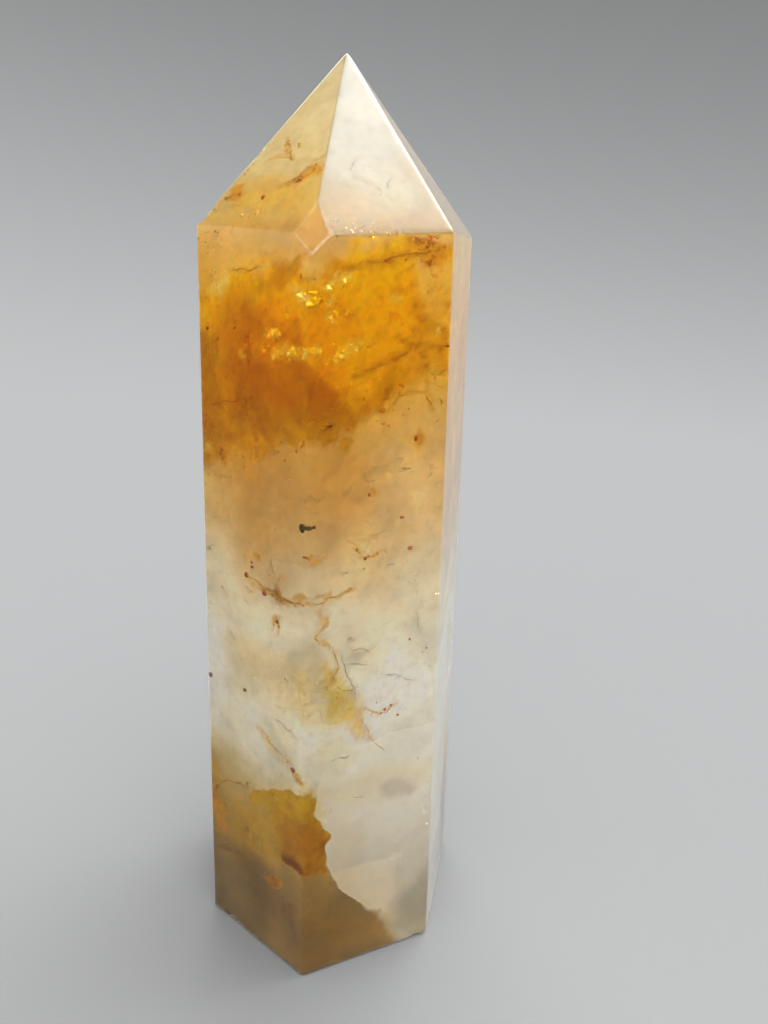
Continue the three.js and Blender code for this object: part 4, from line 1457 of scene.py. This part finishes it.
glint_paths = [
    (on("left", 8.0, 84.2, 9.0, 83.9, 8.7, 83.3), 10, 0.22, 1.2, 0.3, 0.75),
    (on("right", -6.7, 84.8, -5.9, 85.6, -5.0, 86.1, -4.2, 86.2), 20, 0.25, 1.2, 0.08, 0.4),
    (on("right", -6.2, 81.8, -5.2, 81.9, -4.1, 82.9), 14, 0.25, 1.5, 0.08, 0.35),
    (on("left", 1.1, 78.3, 2.3, 78.6, 3.9, 78.6), 14, 0.3, 1.5, 0.1, 0.4),
    (on(
        "left", 3.5, 77.8, 4.5, 78.2, 5.8, 78.1, 6.6, 79.1, 8.4, 78.7, 9.2, 78.2),
     44, 0.35, 1.5, 0.08, 0.45),
    (on("right", -5.6, 77.9, -4.5, 78.3, -3.4, 79.0, -2.6, 79.6), 26, 0.35, 1.5, 0.08, 0.45),
    (on("left", 2.2, 79.9, 3.5, 80.4, 4.1, 80.0), 10, 0.2, 1.5, 0.2, 0.6),
    (on("left", 5.3, 82.4, 5.5, 81.8), 5, 0.12, 1.2, 0.12, 0.35),
    (on("right", -6.5, 83.8, -6.0, 83.0), 8, 0.15, 1.2, 0.08, 0.3),
    (on("right", -3.0, 75.2, 0.0, 75.8), 10, 0.4, 1.5, 0.06, 0.3),
    (on("right", -7.0, 74.0, -4.0, 80.0), 16, 0.9, 1.5, 0.05, 0.2),
    (on("left", -3.2, 86.4, 0.1, 86.5, 3.2, 86.9), 18, 0.2, 0.8, 0.06, 0.28),
    (on("left", -2.0, 77.0, 6.0, 81.0), 16, 1.2, 2.0, 0.05, 0.2),
    (on("right", -2.0, 90.0, 3.0, 90.2), 16, 0.3, 0.8, 0.06, 0.25),
    (on("left", -8.0, 88.5, -3.0, 90.0), 18, 0.6, 1.0, 0.06, 0.3),
    (on("left_back", -4.0, 80.0, 3.0, 79.0), 30, 0.6, 2.0, 0.08, 0.5),
    (on("right_back", -3.0, 82.0, 3.5, 80.5), 30, 0.6, 2.0, 0.08, 0.5),
    (on("far_left", -3.0, 77.0, 3.0, 79.5), 24, 0.6, 2.0, 0.08, 0.4),
]
glint_places, glint_radii = strewn(glint_paths, 400)
seal_in_flakes(
    "golden_glints", glint_places, glint_radii, (65, 66), foil,
    thickness=0.03, stray=0.22, upward=0.32, ragged=0.45)

sparkle_rows = on(
    "point_right", -0.5, 96.0, -5.8, 91.8, -2.3, 90.9, -0.5, 91.5, 0.1, 91.6, 3.8, 91.2,
    "right", 6.3, 80.6, 6.1, 80.9, 3.3, 85.1, 3.0, 84.8, 0.9, 84.0, 2.4, 71.9, 6.8, 71.0,
    "left", 4.7, 63.6, 8.4, 13.1, -7.6, 67.2, -7.2, 66.6, -7.4, 66.9)
# Trails of sparkles: path, count, stray, depth, seed.
sparkle_trails = [
    (on("left", -6.4, 87.0, -5.4, 84.0), 26, 0.4, 0.5, 470),
    (on("left", -8.0, 90.0, -6.0, 88.4), 22, 0.5, 0.6, 471),
    (on("point_left", -8.2, 92.1, -7.0, 92.8), 22, 0.25, 0.3, 472),
    (on("point_left", -5.2, 98.2, -6.0, 96.2), 12, 0.2, 0.3, 478),
    (on("point_left", -2.3, 92.0, -0.9, 92.2, 0.4, 93.2), 20, 0.25, 0.4, 479),
    (on("point_left", 0.2, 94.9, 3.1, 95.9), 16, 0.2, 0.4, 480),
    (on("point_right", -5.9, 91.8, -5.0, 91.0, -1.7, 90.5, -0.6, 91.4, 2.3, 91.0), 30, 0.3, 0.3, 473),
    (on("right", -6.0, 90.2, 2.0, 90.4), 20, 0.3, 0.4, 481),
]
sparkle_places = np.concatenate([
    spots(sparkle_rows, 0.4),
    *[along_path(*trail) for trail in sparkle_trails],
    scattered(150, lambda x, y: 3 + 0 * x, lambda x, y: 66 + 0 * x, deepest=2.5, seed=474),
])
sparkle_radii = sizes(len(sparkle_places), 0.05, 0.22, seed=476)
seal_in_flakes(
    "white_sparkles", sparkle_places, sparkle_radii, (475, 477), silver,
    thickness=0.03, stray=0.3, upward=0.32, ragged=0.45)

veil_places = scattered(90, lambda x, y: 8 + 0 * x, lambda x, y: 68 + 0 * x, deepest=6.0, seed=67)
veil_radii = sizes(len(veil_places), 0.3, 2.2, seed=69)
seal_in_flakes(
    "white_veils", veil_places, veil_radii, (68, 70), frost, stray=0.8, upward=0.3, ragged=0.4)
